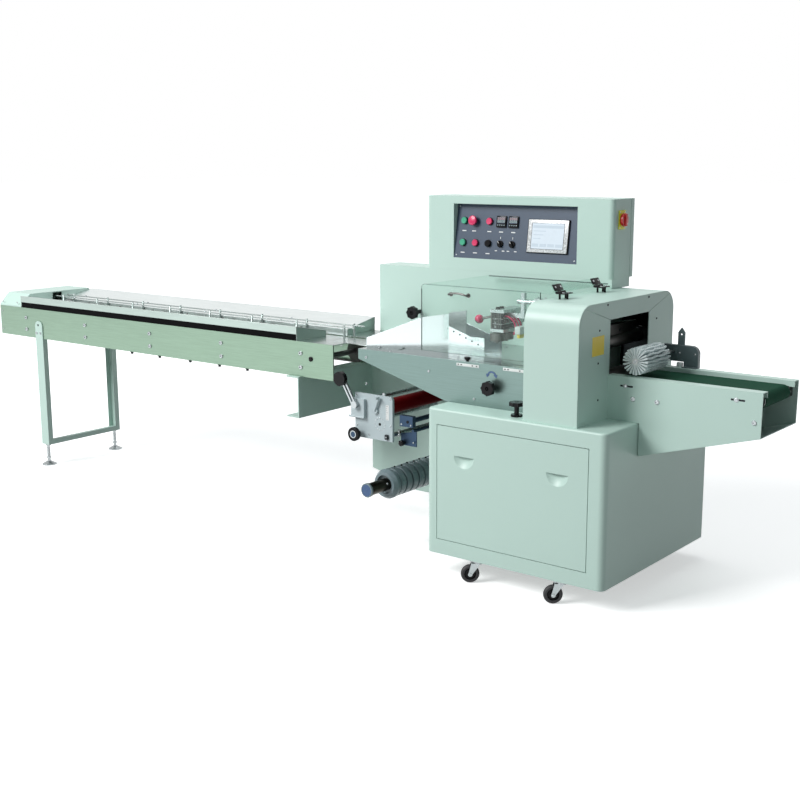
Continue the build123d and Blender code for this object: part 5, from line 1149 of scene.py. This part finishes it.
class WRAPPER_OT_seal(Builder, bpy.types.Operator):
    """Add the centre seal's screws, heater leads, guide posts and lever ball"""

    bl_idname = "wrapper.seal"
    bl_label = "Centre Seal"
    group = "wrapper_seal"

    def build(self, s):
        lo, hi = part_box("centre_seal_unit")
        front, _ = joint("seal_wheel_front_spin")
        start, top = Vector((front.x, lo.y, front.z)), 0.114
        low, block = front.z + s.block_low, s.block_tall
        x0, x1, y = lo.x + s.block_left, lo.x + s.block_right, lo.y
        seal = Piece("black_steel")
        for a, b in ((0.0, 0.30), (0.34, 0.62), (0.66, 1.0)):
            seal.box((x0 - 0.0015, y - 0.0012, low + block * a), (x1 + 0.0015, y + 0.086, low + block * b), 0.0015)
        seal.use("tool_steel")
        for k in range(4):
            at = x0 + 0.004 + (x1 - x0 - 0.012) * k / 3
            seal.box((at, y - 0.0030, low + 0.004), (at + 0.004, y - 0.0008, low + block - 0.004), 0.0005)
        for dy in (0.016, 0.042, 0.068):
            nut = [(0.0085, 0), (0.0085, 0.0045), (0.006, 0.006), (0, 0.006)]
            seal.turned(nut, facing((x1 + 0.0015, y + dy, low + block * 0.48), RIGHT), 20)
            seal.pin((x0 - 0.0015, y + dy, low + block * 0.24), LEFT, 0.0065, 0.004)
        seal.use("zinc")
        for x in (-0.026, -0.0085, 0.009, 0.0265):
            seal.screw(start + Vector((x, 0.016, top)), UP, s.screw, s.screw * 1.3)
            seal.screw(start + Vector((x, 0.134, top)), UP, s.screw)
        grip = [(0.006, 0), (0.006, 0.004), (0.010, 0.005), (0.010, 0.014), (0.008, 0.016), (0, 0.016)]
        for dy in (0.042, 0.068):
            seal.use("black").turned(grip, facing(start + Vector((-0.018, dy, top)), UP), 20)
            seal.use("zinc").bolt(start + Vector((0.018, dy, top)), UP, 0.007, 0.006)
        seal.use("tool_steel")
        for dx in (-0.022, 0.016):
            foot = start + Vector((dx, 0.006, s.post_low))
            seal.turned([(s.post, 0), (s.post, 0.066)], facing(foot, UP), 20)
        seal.use("zinc")
        for z in (0.056, 0.072, 0.088):
            seal.screw(start + Vector((-0.004, 0.0005, z)), FRONT, 0.0045)
        seal.use("red")
        for k in range(3):
            first = start + Vector((0.028, 0.020 + 0.020 * k, 0.100))
            path = [first + Vector(step) for step in (
                (0, 0, 0), (0.022, 0, -0.004), (0.042, 0.004, -0.022), (0.046, 0.010, -0.050), (0.034, 0.016, -0.072))]
            seal.tube(smooth_path(path, 6), s.lead, 10)
        for coat, low, high, bevel in (
            ("yellow", (0.086, 0.020, 0.016), (0.100, 0.052, 0.032), 0.002),
            ("white", (0.080, 0.012, 0.032), (0.106, 0.060, 0.062), 0.003),
        ):
            seal.use(coat).box(start + Vector(low), start + Vector(high), bevel)
        seal.use("zinc")
        for dx in (0.168, 0.200):
            seal.screw((front.x + dx, y + 0.044, hi.z - 0.016), UP, 0.005)
        seal.done("seal_fittings", "machine", "zinc")
        for side in ("front", "rear"):
            centre, _ = joint(f"seal_wheel_{side}_spin")
            cap = Piece("zinc")
            for a, b in circle(3, 0.020, 0.4):
                cap.screw(centre + Vector((a, b, 0.0003)), DOWN, 0.003)
            cap.done(f"seal_wheel_screws_{side}", f"{side}_seal_wheel", "steel")
        lo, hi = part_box("seal_lever")
        r = s.ball
        globe = [(0, r)] + [(r * sin(tau * k / 36), r * cos(tau * k / 36)) for k in range(1, 18)] + [(0, -r)]
        ball = Piece("red").turned(globe, facing((lo.x + r, (lo.y + hi.y) / 2, lo.z + r), LEFT), 32)
        ball.done("lever_ball", "lever", "plastic_red")


class WRAPPER_OT_knobs(Builder, bpy.types.Operator):
    """Add the metal inserts of the hand knobs"""

    bl_idname = "wrapper.knobs"
    bl_label = "Hand Knobs"
    group = "wrapper_knobs"

    def build(self, s):
        r, disc, inner = s.insert, s.disc, s.disc * 0.75
        for node, body, normal in (
            ("apron_knob", "apron_hand_knob", FRONT), ("wall_knob", "wall_hand_knob", FRONT),
            ("clamp_knob", "clamp_hand_knob", UP), ("tension_knob", "tension", FRONT),
        ):
            lo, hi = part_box(node)
            middle, half = (lo + hi) / 2, (hi - lo) / 2
            knob, place = Piece("zinc"), facing(middle + normal * abs(normal.dot(half)), normal)
            if node == "tension_knob":
                knob.turned([(disc, -0.002), (disc, 0.0005), (inner, 0.0005), (inner, -0.002)], place, 32, ring=True)
                knob.use("blue_alloy").turned([(inner, -0.002), (inner, 0.0003), (0, 0.0003)], place, 32)
            else:
                knob.turned([(r, -0.002), (r, 0.0), (r * 0.45, 0.0), (r * 0.45, -0.0015), (0, -0.0015)], place, 24)
            knob.done(f"{node}_insert", body, "zinc")


class WRAPPER_OT_infeed(Builder, bpy.types.Operator):
    """Build the pusher chain and add the infeed's screws, caps and tray lips, with painted shade under the lips"""

    bl_idname = "wrapper.infeed"
    bl_label = "Infeed Conveyor"
    group = "wrapper_infeed"

    def build(self, s):
        lo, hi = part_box("infeed_side_plates")
        side = Piece("zinc")
        for face, normal in ends(lo, hi):
            for k in range(s.pairs):
                for drop in (s.high, s.low):
                    side.screw((lo.x + s.first + s.pitch * k, face, hi.z - drop), normal, s.screw)
            side.use("black_steel")
            for x in (1.071, 1.273, 1.487, 1.683, 1.862):
                side.bolt((lo.x + x, face - 0.003 * normal.y, lo.z), DOWN, 0.007, 0.010)
            side.use("zinc")
            for drop in (0.028, 0.125):
                side.screw((lo.x + 0.018, face, hi.z - drop), normal, 0.004)
            axle = [(0.011, 0), (0.011, 0.003), (0.008, 0.005), (0, 0.005)]
            side.use("black").turned(axle, facing((hi.x - 0.126, face, hi.z - 0.071), normal), 24).use("zinc")
        lo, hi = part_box("infeed_legs")
        for face, normal in ends(lo, hi):
            for x, drop in ((0.010, 0.063), (0.042, 0.062)):
                side.bolt((lo.x + x, face, hi.z - drop), normal, 0.006, 0.004)
            # Dark disc over the leg's hole: painted shade
            hole_shade = facing((lo.x + 0.027, face, hi.z - 0.021), normal)
            side.use("black_steel").prism(circle(20, 0.006), 0.0003, hole_shade).use("zinc")
        lo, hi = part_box("infeed_end_cover")
        for x in (lo.x + 0.03, hi.x - 0.03):
            for face, normal in ends(lo, hi):
                side.screw((x, face, lo.z + 0.022), normal, 0.005)
        side.done("infeed_screws", "machine", "zinc")
        self.trays(s)
        lo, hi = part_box("infeed_guides")
        caps = Piece("zinc")
        cap = [(0.0055, 0), (0.0055, 0.0035), (0.0035, 0.005), (0, 0.005)]
        for k in range(4):
            for y in (lo.y + 0.004, hi.y - 0.004):
                caps.turned(cap, facing((lo.x + 0.16 + 0.50 * k, y, hi.z - 0.006), UP), 16)
        caps.done("guide_caps", "machine", "zinc")
        self.chain(s)

    def trays(self, s):
        """Painted shade in the gaps below the trays' lips, with their outer lips and closed ends."""
        lo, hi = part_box("infeed_trays")
        plates_lo, plates_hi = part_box("infeed_side_plates")
        trays = Piece("liner")
        for edge, inward, right in ((plates_lo.y, 1, hi.x - s.tray_short), (plates_hi.y, -1, hi.x)):
            # Near-black strip in the gap under the lip: painted shade
            y0, y1 = sorted((edge + inward * 0.0035, edge + inward * 0.0055))
            trays.use("liner").box((lo.x + 0.001, y0, lo.z + 0.0002), (right - 0.001, y1, hi.z - s.tray_lip + 0.002))
            y0, y1 = sorted((edge - inward * 0.0003, edge + inward * 0.0007))
            trays.use("lip_steel").box((lo.x - 0.0002, y0, hi.z - s.tray_lip), (right + 0.0002, y1, hi.z - 0.0008))
            section = [(0.0, 0.0), (s.tray_inner, 0.0), (s.tray_inner, s.tray_low - 0.002), (0.0, hi.z - lo.z - 0.001)]
            section = [(edge + inward * (0.0005 + a), lo.z + 0.0002 + b) for a, b in section]
            for x in (lo.x, right - s.tray_end):
                trays.prism(section, s.tray_end, Matrix(((0, 0, 1, x), (1, 0, 0, 0), (0, 1, 0, 0), (0, 0, 0, 1))))
        trays.done("tray_ends", "machine", "steel")

    def chain(self, s):
        """Roller chain with its pushers, on two sprockets."""
        lo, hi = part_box("pusher_chain")
        _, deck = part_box("infeed_deck")
        r, y = s.chain_radius - s.chain_sheet / 2, (lo.y + hi.y) / 2
        left, right = lo.x + s.chain_radius, hi.x - s.chain_radius
        z = deck.z - s.chain_drop - s.chain_radius
        run, turn = right - left, pi * r
        links = round((2 * run + 2 * turn) / s.link_pitch)
        step = (2 * run + 2 * turn) / links

        def along(d):
            """Place on the loop: local X along the chain, local Z across it."""
            d %= 2 * (run + turn)
            back, d = d >= run + turn, d % (run + turn)
            bend = max(0.0, d - run) / r + (pi if back else 0.0)
            middle = (right - min(d, run)) if back else (left + min(d, run))
            point = Vector((middle + r * sin(bend), y, z + r * cos(bend)))
            return Matrix.Translation(point) @ Matrix.Rotation(bend, 4, "Y") @ Matrix.Rotation(-pi / 2, 4, "X")

        chain, half, tall = Piece("tool_steel"), (hi.y - lo.y) / 2, s.link_tall / 2
        plate = arc(tall, -90, 90, 3, (step / 2, 0)) + arc(tall, 90, 270, 3, (-step / 2, 0))
        roller = [(tall * 0.62, -half * 0.7), (tall * 0.62, half * 0.7)]
        for i in range(links):
            place = along(step * (i + 0.5))
            inset = half - s.link_sheet * (1 if i % 2 else 2)
            for across in (inset, -inset - s.link_sheet):
                chain.prism(plate, s.link_sheet, place @ Matrix.Translation((0, 0, across)))
            chain.turned(roller, along(step * i), 8)
        for i in range(int(run // s.pusher_pitch)):
            x = left + s.pusher_pitch * (i + 0.5)
            for low, high in ((z + s.chain_radius - 0.002, hi.z), (lo.z, z - s.chain_radius + 0.002)):
                chain.box((x, lo.y, low), (x + s.pusher_sheet, hi.y, high), 0.001)
        chain.done("pusher_links", "machine", "steel_dark", "pusher_chain")
        root, tip = s.chain_radius - s.chain_sheet - 0.0002, s.chain_radius - s.chain_sheet / 2
        wheels, teeth = Piece("tool_steel"), []
        for k in range(s.teeth):
            for radius, lean in ((root, -0.16), (tip, -0.05), (tip, 0.05), (root, 0.16)):
                a = tau * k / s.teeth + lean
                teeth.append((radius * cos(a), radius * sin(a)))
        for x in (left, right):
            wheels.prism(teeth, s.sprocket, facing((x, y - s.sprocket / 2, z), REAR))
        wheels.done("sprockets", "machine", "steel_dark")


class WRAPPER_OT_film(Builder, bpy.types.Operator):
    """Add the film unit's grips, screws, spring and label"""

    bl_idname = "wrapper.film"
    bl_label = "Film Unit"
    group = "wrapper_film"

    def build(self, s):
        lo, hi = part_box("film_unit_plate")
        cabinet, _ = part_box("base_cabinet")
        face = lo.y + s.plate_face

        def at(x, z, stand=0.0):
            """Point on the plate's face, measured from the cabinet's left side and the floor."""
            return Vector((cabinet.x + x, face - stand, z))

        plate = Piece("zinc")
        for a, b in circle(12, s.dots):
            stud = [(0.0026, 0), (0.0026, 0.0010), (0.0018, 0.0016), (0, 0.0016)]
            plate.turned(stud, facing(at(-0.314 + a, 0.536 + b), FRONT), 12)
        plate.use("black").pin(at(-0.314, 0.536), FRONT, 0.006, 0.001)
        plate.use("white").box(at(-0.282, 0.558, 0.0006), at(-0.266, 0.620, -0.0005)).use("black")
        for k in range(7):
            z, wide = 0.562 + 0.0088 * k, 0.004 if k % 3 else 0.008
            plate.box(at(-0.280, z, 0.0009), at(-0.280 + wide, z + 0.0012, 0.0004))
        plate.use("black_steel").box(at(-0.283, 0.478, 0.009), at(-0.268, 0.498), 0.001)
        plate.use("zinc").screw(at(-0.2755, 0.488, 0.009), FRONT, 0.0032)
        for x, z in ((-0.435, 0.645), (-0.258, 0.645), (-0.258, 0.535), (-0.435, 0.520), (-0.370, 0.485)):
            plate.screw(at(x, z), FRONT, 0.0042)
        plate.done("film_plate_fittings", "machine", "zinc")
        lo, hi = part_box("nip_lever")
        r, skin = s.nip_knob, 0.0006
        rim = [(0, -skin), (r + skin, -skin), (r + skin, 0.0184), (0.012, 0.0184)]
        grip = Piece("black").turned(rim, facing((lo.x + r, lo.y, hi.z - r), REAR), 48)
        grip.done("nip_grip", "nip", "plastic_black")
        knob = [(0.010, 0), (0.012, 0.004), (0.012, 0.018), (0.008, 0.021), (0, 0.021)]
        hang = Piece("black").turned(knob, facing(at(-0.228, 0.463, -0.045), FRONT), 24).use("zinc")
        hang.spring(at(-0.236, 0.520, -0.028), at(-0.236, 0.492, -0.028), 0.0055, 0.0011, 7)
        hang.screw(at(-0.176, 0.470, -0.045), FRONT, 0.004)
        hang.done("hanger_fittings", "machine", "plastic_black")
        lo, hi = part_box("film_cross_rods")
        cap = [(0.008, 0), (0.008, 0.009), (0.006, 0.011), (0, 0.011)]
        rods = Piece("zinc").turned(cap, facing(at(-0.302, 0.655, -0.014), UP), 20)
        for x, z in ((-0.405, 0.622), (-0.262, 0.495), (-0.400, 0.530)):
            rods.screw((cabinet.x + x, lo.y + 0.0004, z), FRONT, 0.004)
        rods.done("rod_ends", "machine", "zinc")
        lo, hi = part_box("sensor_block")
        sensor = Piece("zinc")
        for x in (0.030, 0.078):
            sensor.screw((lo.x + x, lo.y, lo.z + 0.096), FRONT, 0.004)
        sensor.use("black").pin((lo.x + 0.062, lo.y, lo.z + 0.108), FRONT, 0.006, 0.002)
        sensor.done("sensor_fittings", "machine", "zinc")
        lo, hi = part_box("rubber_roller")
        centre, _ = joint("rubber_roller_spin")
        roller = Piece("zinc")
        for y, normal in ends(lo, hi):
            disc = [(0.012, 0), (0.012, 0.0006), (0.004, 0.0008), (0, 0.0008)]
            roller.turned(disc, facing((centre.x, y, centre.z), normal), 24)
        roller.done("roller_ends", "roller", "zinc")


class WRAPPER_OT_reel(Builder, bpy.types.Operator):
    """Build the reel's shaft with its cap and add the clamp screws of its rings"""

    bl_idname = "wrapper.reel"
    bl_label = "Film Reel"
    group = "wrapper_film"

    def build(self, s):
        centre, _ = joint("reel_spin")
        lo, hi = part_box("reel_shaft")
        cap, reach, long = (hi.z - lo.z) / 2, hi.y - lo.y, s.cap_long
        core, rim, place = cap - s.cap_rim, cap - 0.0045, facing((centre.x, lo.y, centre.z), REAR)
        shaft = Piece("bronze").turned([(0, long), (core, long), (core, reach), (0, reach)], place, 56)
        shaft.turned([(cap - 0.0006, long), (cap - 0.0006, long + 0.004), (core, long + 0.004)], place, 56)
        shaft.use("zinc")
        for a, b in circle(3, 1.0, 0.2 * tau / 3):
            out = Vector((a, 0, b))
            shaft.screw(Vector((centre.x, lo.y + 0.108, centre.z)) + out * (core - 0.001), out, 0.005)
        collar = [(0, long), (cap - 0.004, long), (cap, long - 0.002), (cap, 0.0022), (cap - 0.0022, 0), (rim, 0),
                  (rim, 0.001)]
        shaft.use("ring_grey").turned(collar, place, 56)
        shaft.use("blue").turned([(rim, 0.0009), (0, 0.0006)], place, 56)
        shaft.turned([(0.0035, 0.0), (0.0035, 0.0008), (0, 0.0008)], place, 20)
        shaft.done("reel_mandrel", "reel", "bronze", "reel_shaft")
        lo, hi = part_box("reel_rings")
        head = s.ring_screw
        cap = [(0, 0.0125), (head, 0.0125), (head, 0.0160), (head * 0.7, 0.0172), (0, 0.0172)]
        screws = Piece("zinc")
        for k in range(s.rings):
            a = s.ring_turn[k % 2]
            out = Vector((cos(a), 0, sin(a)))
            base = Vector((centre.x, lo.y + s.ring_start + s.ring_pitch * k - 0.004, centre.z))
            place = facing(base + out * ((hi.z - lo.z) / 2 - 0.006), out, FRONT)
            screws.use("zinc").turned([(0.0013, 0), (0.0013, 0.0135), (0, 0.0135)], place, 10)
            screws.use("black").turned(cap, place, 14)
        screws.done("ring_screws", "reel", "steel_dark")


class WRAPPER_OT_outfeed(Builder, bpy.types.Operator):
    """Add the outfeed's slots, screws and guide block"""

    bl_idname = "wrapper.outfeed"
    bl_label = "Outfeed Conveyor"
    group = "wrapper_outfeed"

    def build(self, s):
        lo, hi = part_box("outfeed_frame")
        out = Piece("zinc")
        for y, normal in ends(lo, hi):
            for x, drop in ((0.105, 0.078), (0.200, 0.078), (0.561, 0.105)):
                out.screw((lo.x + x, y, hi.z - drop), normal, s.screw)
            for x in (lo.x + 0.078, lo.x + 0.500):
                z = hi.z - s.slot_drop
                # Tension slot: a flush dark insert, painted shade of the opening; its bolt sits on it
                out.use("black_steel").slot((x, y, z), normal, s.slot_long, s.slot_tall, 0.0003)
                out.use("zinc").bolt((x - 0.006, y, z), normal, 0.0062, 0.004)
        belt_lo, belt_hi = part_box("outfeed_belt")
        end, z, gap, sheet, half = belt_hi.x, (belt_lo.z + belt_hi.z) / 2, 0.0035, 0.0032, 0.020
        out.use("black")
        for y0, y1 in ((lo.y + sheet, belt_lo.y - gap), (belt_hi.y + gap, hi.y - sheet)):
            out.box((end - 0.055, y0, z - half), (end - 0.010, y1, z + half), 0.002)
        out.use("zinc")
        for y in (belt_lo.y - 0.018, belt_hi.y + 0.018):
            out.screw((end - 0.0105, y, z), RIGHT, 0.005)
        corner = Vector((lo.x, hi.y, hi.z))
        out.use("white").box(corner + Vector((0.121, -0.014, -0.004)), corner + Vector((0.144, -0.002, 0.017)), 0.002)
        out.done("outfeed_fittings", "machine", "zinc")
        lo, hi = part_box("brush_arm")
        arm = Piece("zinc")
        for x, z in ((0.012, 0.080), (0.012, 0.052), (0.075, 0.052)):
            arm.screw((hi.x - x, lo.y + 0.018, lo.z + z), FRONT, 0.004)
        centre, _ = joint("brush_spin")
        arm.bolt((centre.x, hi.y - 0.0045, centre.z), REAR, 0.008, 0.0045)
        arm.done("arm_screws", "machine", "zinc")


class WRAPPER_OT_brush(Builder, bpy.types.Operator):
    """Build the brush from blades of bristle on a hub"""

    bl_idname = "wrapper.brush"
    bl_label = "Outfeed Brush"
    group = "wrapper_outfeed"

    def strip(self, s, centre, curve, y, width):
        """One strip of a blade along a curve of (radius, angle); it is thicker near its tip."""
        strip, rows = bmesh.new(), []
        for r, a, thick in curve:
            along, across = Vector((cos(a), 0, sin(a))), Vector((-sin(a), 0, cos(a)))
            rows.append([
                strip.verts.new(Vector((centre.x, yy, centre.z)) + r * along + side * thick / 2 * across)
                for side, yy in ((-1, y), (-1, y + width), (1, y), (1, y + width))])
        for low, high in zip(rows, rows[1:]):
            for c, d in ((0, 1), (1, 3), (3, 2), (2, 0)):
                strip.faces.new((low[c], low[d], high[d], high[c]))
        for a, b, c, d in (rows[0], rows[-1]):
            strip.faces.new((a, b, d, c))
        return strip

    def build(self, s):
        lo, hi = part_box("brush_roller")
        centre, _ = joint("brush_spin")
        outer, hub, core, long = (hi.z - lo.z) / 2, s.hub, s.core, s.brush_long
        width, middle = (long - 0.004) / s.strips, (hub + outer) / 2
        brush = Piece("bristle")
        for k in range(s.blades):
            for j in range(s.strips):
                sway = 0.035 * sin(k * 2.1 + j * 0.55) + 0.012 * sin(j * 2.3 + k)
                reach = outer - 0.0004 - 0.0012 * (0.5 + 0.5 * sin(k * 3.7 + j * 2.9))
                root = tau * k / s.blades
                curve = [(core if j < 2 else hub - 0.002, root, s.root), (middle, root + 0.4 * sway, s.tip),
                         (reach, root + sway, s.tip)]
                brush.join(self.strip(s, centre, curve, lo.y + 0.002 + width * j, width))
        place = facing((centre.x, lo.y, centre.z), REAR)
        tube = [(0.006, 0.0), (core, 0.0), (core, 0.012), (hub, 0.012), (hub, long), (0.006, long)]
        brush.use("white").turned(tube, place, 40, ring=True)
        brush.use("zinc").turned([(0.006, 0.0003), (0.006, hi.y - lo.y), (0, hi.y - lo.y)], place, 20)
        brush.screw((centre.x, lo.y + 0.0035, centre.z), FRONT, 0.0055)
        brush.done("brush_blades", "brush", "plastic_white", "brush_roller")


class WRAPPER_OT_feet(Builder, bpy.types.Operator):
    """Add the levelling feet's lock nuts and threads"""

    bl_idname = "wrapper.feet"
    bl_label = "Levelling Feet"
    group = "wrapper_infeed"

    def build(self, s):
        lo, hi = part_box("levelling_feet")
        feet, radius, x = Piece("zinc"), (hi.x - lo.x) / 2, (lo.x + hi.x) / 2
        crest = [(0.0079, 0.0), (0.0086, 0.0005), (0.0079, 0.0010)]
        for y in (lo.y + radius, hi.y - radius):
            for z in (0.034, hi.z - 0.009):
                feet.prism(circle(6, s.foot_nut), 0.008, facing((x, y, z), UP), 0.001)
            for k in range(24):
                feet.turned(crest, facing((x, y, 0.046 + s.foot_thread * k), UP), 16, ring=True)
        feet.done("foot_threads", "machine", "zinc")


class WRAPPER_OT_stage(Builder, bpy.types.Operator):
    """Set the floor, the lamps, the surroundings and the camera"""

    bl_idname = "wrapper.stage"
    bl_label = "Stage"
    group = "wrapper_stage"

    def lamp(self, name, place, energy, size):
        data = bpy.data.lights.new(name, "AREA")
        data.shape, data.energy, data.size, data.size_y = "RECTANGLE", energy, size, size
        made, middle = bpy.data.objects.new(name, data), Vector((0.2, 0.0, 0.7))
        made.location = place
        made.rotation_euler = (middle - Vector(place)).to_track_quat("-Z", "Y").to_euler()
        bpy.context.scene.collection.objects.link(made)

    def seen(self, graph):
        """1 for rays that show the surroundings as a plain white backdrop."""
        first, second, third = (graph.node("ShaderNodeLightPath", output=name) for name in (
            "Is Camera Ray", "Is Glossy Ray", "Is Transmission Ray"))
        return first.larger(second).larger(third)

    def floor(self, s):
        """Floor that lights the machine plainly and is seen as nearly white, whiter further off."""
        graph, shade = Graph("floor"), tuple(s.floor_colour)
        tone = graph.mix(graph.grain(1.5), *shades(shade, 0.985, 1.0))
        plain = graph.surface(Base_Color=shades(shade, s.floor_bounce, 1.0)[0], Roughness=0.6)
        place = graph.node("ShaderNodeNewGeometry", output="Position")
        x, y = (graph.node("ShaderNodeSeparateXYZ", None, {0: place}, axis) for axis in (0, 1))
        glow = graph.mix(((x * x + y * y) * s.floor_spread).smaller(1.0), [s.floor_glow] * 3, (1.0, 1.0, 1.0))
        shown = graph.surface(
            Base_Color=tone, Roughness=0.6, Specular_IOR_Level=0.0, Emission_Color=glow, Emission_Strength=1.0)
        both = graph.node("ShaderNodeMixShader", None, {0: self.seen(graph), 1: plain, 2: shown})
        mesh, r = bpy.data.meshes.new("floor"), s.floor_reach
        mesh.from_pydata([(-r, -r, 0), (r, -r, 0), (r, r, 0), (-r, r, 0)], [], [(0, 1, 2, 3)])
        mesh.materials.append(graph.close(both))
        made = bpy.data.objects.new("floor", mesh)
        bpy.context.scene.collection.objects.link(made)

    def build(self, s):
        scene = bpy.context.scene
        self.floor(s)
        self.lamp("key", (-3.4, -7.2, 6.4), s.key, 4.5)
        self.lamp("top", (-0.5, 1.2, 7.0), s.top, 5.0)
        self.lamp("side", (7.5, -4.0, 3.0), s.side, 4.0)
        graph = Graph("surroundings", "worlds")
        even = graph.node("ShaderNodeBackground", None, {"Color": (0.80, 0.94, 1.0), "Strength": s.sky})
        plain = graph.node("ShaderNodeBackground", None, {"Color": (1.0, 1.0, 1.0), "Strength": 1.0})
        both = graph.node("ShaderNodeMixShader", None, {0: self.seen(graph), 1: even, 2: plain})
        scene.world = graph.close(both, "World")
        scene.view_settings.view_transform = "Standard"
        data = bpy.data.cameras.new("view")
        data.lens, data.sensor_width, data.clip_end = s.lens, 36.0, 100.0
        data.dof.use_dof = False
        camera = bpy.data.objects.new("view", data)
        turn, tilt, roll = s.camera_turn
        aim = Matrix.Rotation(turn, 4, "Z") @ Matrix.Rotation(pi / 2 - tilt, 4, "X") @ Matrix.Rotation(roll, 4, "Z")
        camera.matrix_world = Matrix.Translation(Vector(s.camera_place)) @ aim
        scene.collection.objects.link(camera)
        scene.camera = camera


# ---- Add-on ----
SETTINGS = (
    ("wrapper_look", LookSettings), ("wrapper_casters", CasterSettings), ("wrapper_panel", PanelSettings),
    ("wrapper_housing", HousingSettings), ("wrapper_hood", HoodSettings), ("wrapper_table", TableSettings),
    ("wrapper_seal", SealSettings), ("wrapper_knobs", KnobSettings), ("wrapper_infeed", InfeedSettings),
    ("wrapper_film", FilmSettings), ("wrapper_outfeed", OutfeedSettings), ("wrapper_stage", StageSettings),
)
OPERATORS = (
    WRAPPER_OT_coats, WRAPPER_OT_casters, WRAPPER_OT_panel, WRAPPER_OT_box, WRAPPER_OT_hood, WRAPPER_OT_guard,
    WRAPPER_OT_table, WRAPPER_OT_seal, WRAPPER_OT_knobs, WRAPPER_OT_infeed, WRAPPER_OT_film, WRAPPER_OT_reel,
    WRAPPER_OT_outfeed, WRAPPER_OT_brush, WRAPPER_OT_feet, WRAPPER_OT_stage,
)


class WRAPPER_PT_panel(bpy.types.Panel):
    """Lists the operators and the settings"""

    bl_idname = "WRAPPER_PT_panel"
    bl_label = "Flow Wrapper"
    bl_space_type = "VIEW_3D"
    bl_region_type = "UI"
    bl_category = "Flow Wrapper"

    def draw(self, context):
        for operator in OPERATORS:
            self.layout.operator(operator.bl_idname, text=operator.bl_label)
        for name, kind in SETTINGS:
            box = self.layout.box()
            for field in kind.__annotations__:
                box.prop(getattr(context.scene, name), field)


def register():
    for _, kind in SETTINGS:
        bpy.utils.register_class(kind)
    for operator in OPERATORS:
        bpy.utils.register_class(operator)
    bpy.utils.register_class(WRAPPER_PT_panel)
    for name, kind in SETTINGS:
        setattr(bpy.types.Scene, name, bpy.props.PointerProperty(type=kind))


def unregister():
    for name, _ in SETTINGS:
        delattr(bpy.types.Scene, name)
    bpy.utils.unregister_class(WRAPPER_PT_panel)
    for operator in reversed(OPERATORS):
        bpy.utils.unregister_class(operator)
    for _, kind in reversed(SETTINGS):
        bpy.utils.unregister_class(kind)


def main():
    register()
    for operator in OPERATORS:
        group, name = operator.bl_idname.split(".")
        getattr(getattr(bpy.ops, group), name)()


if __name__ == "__main__":
    main()
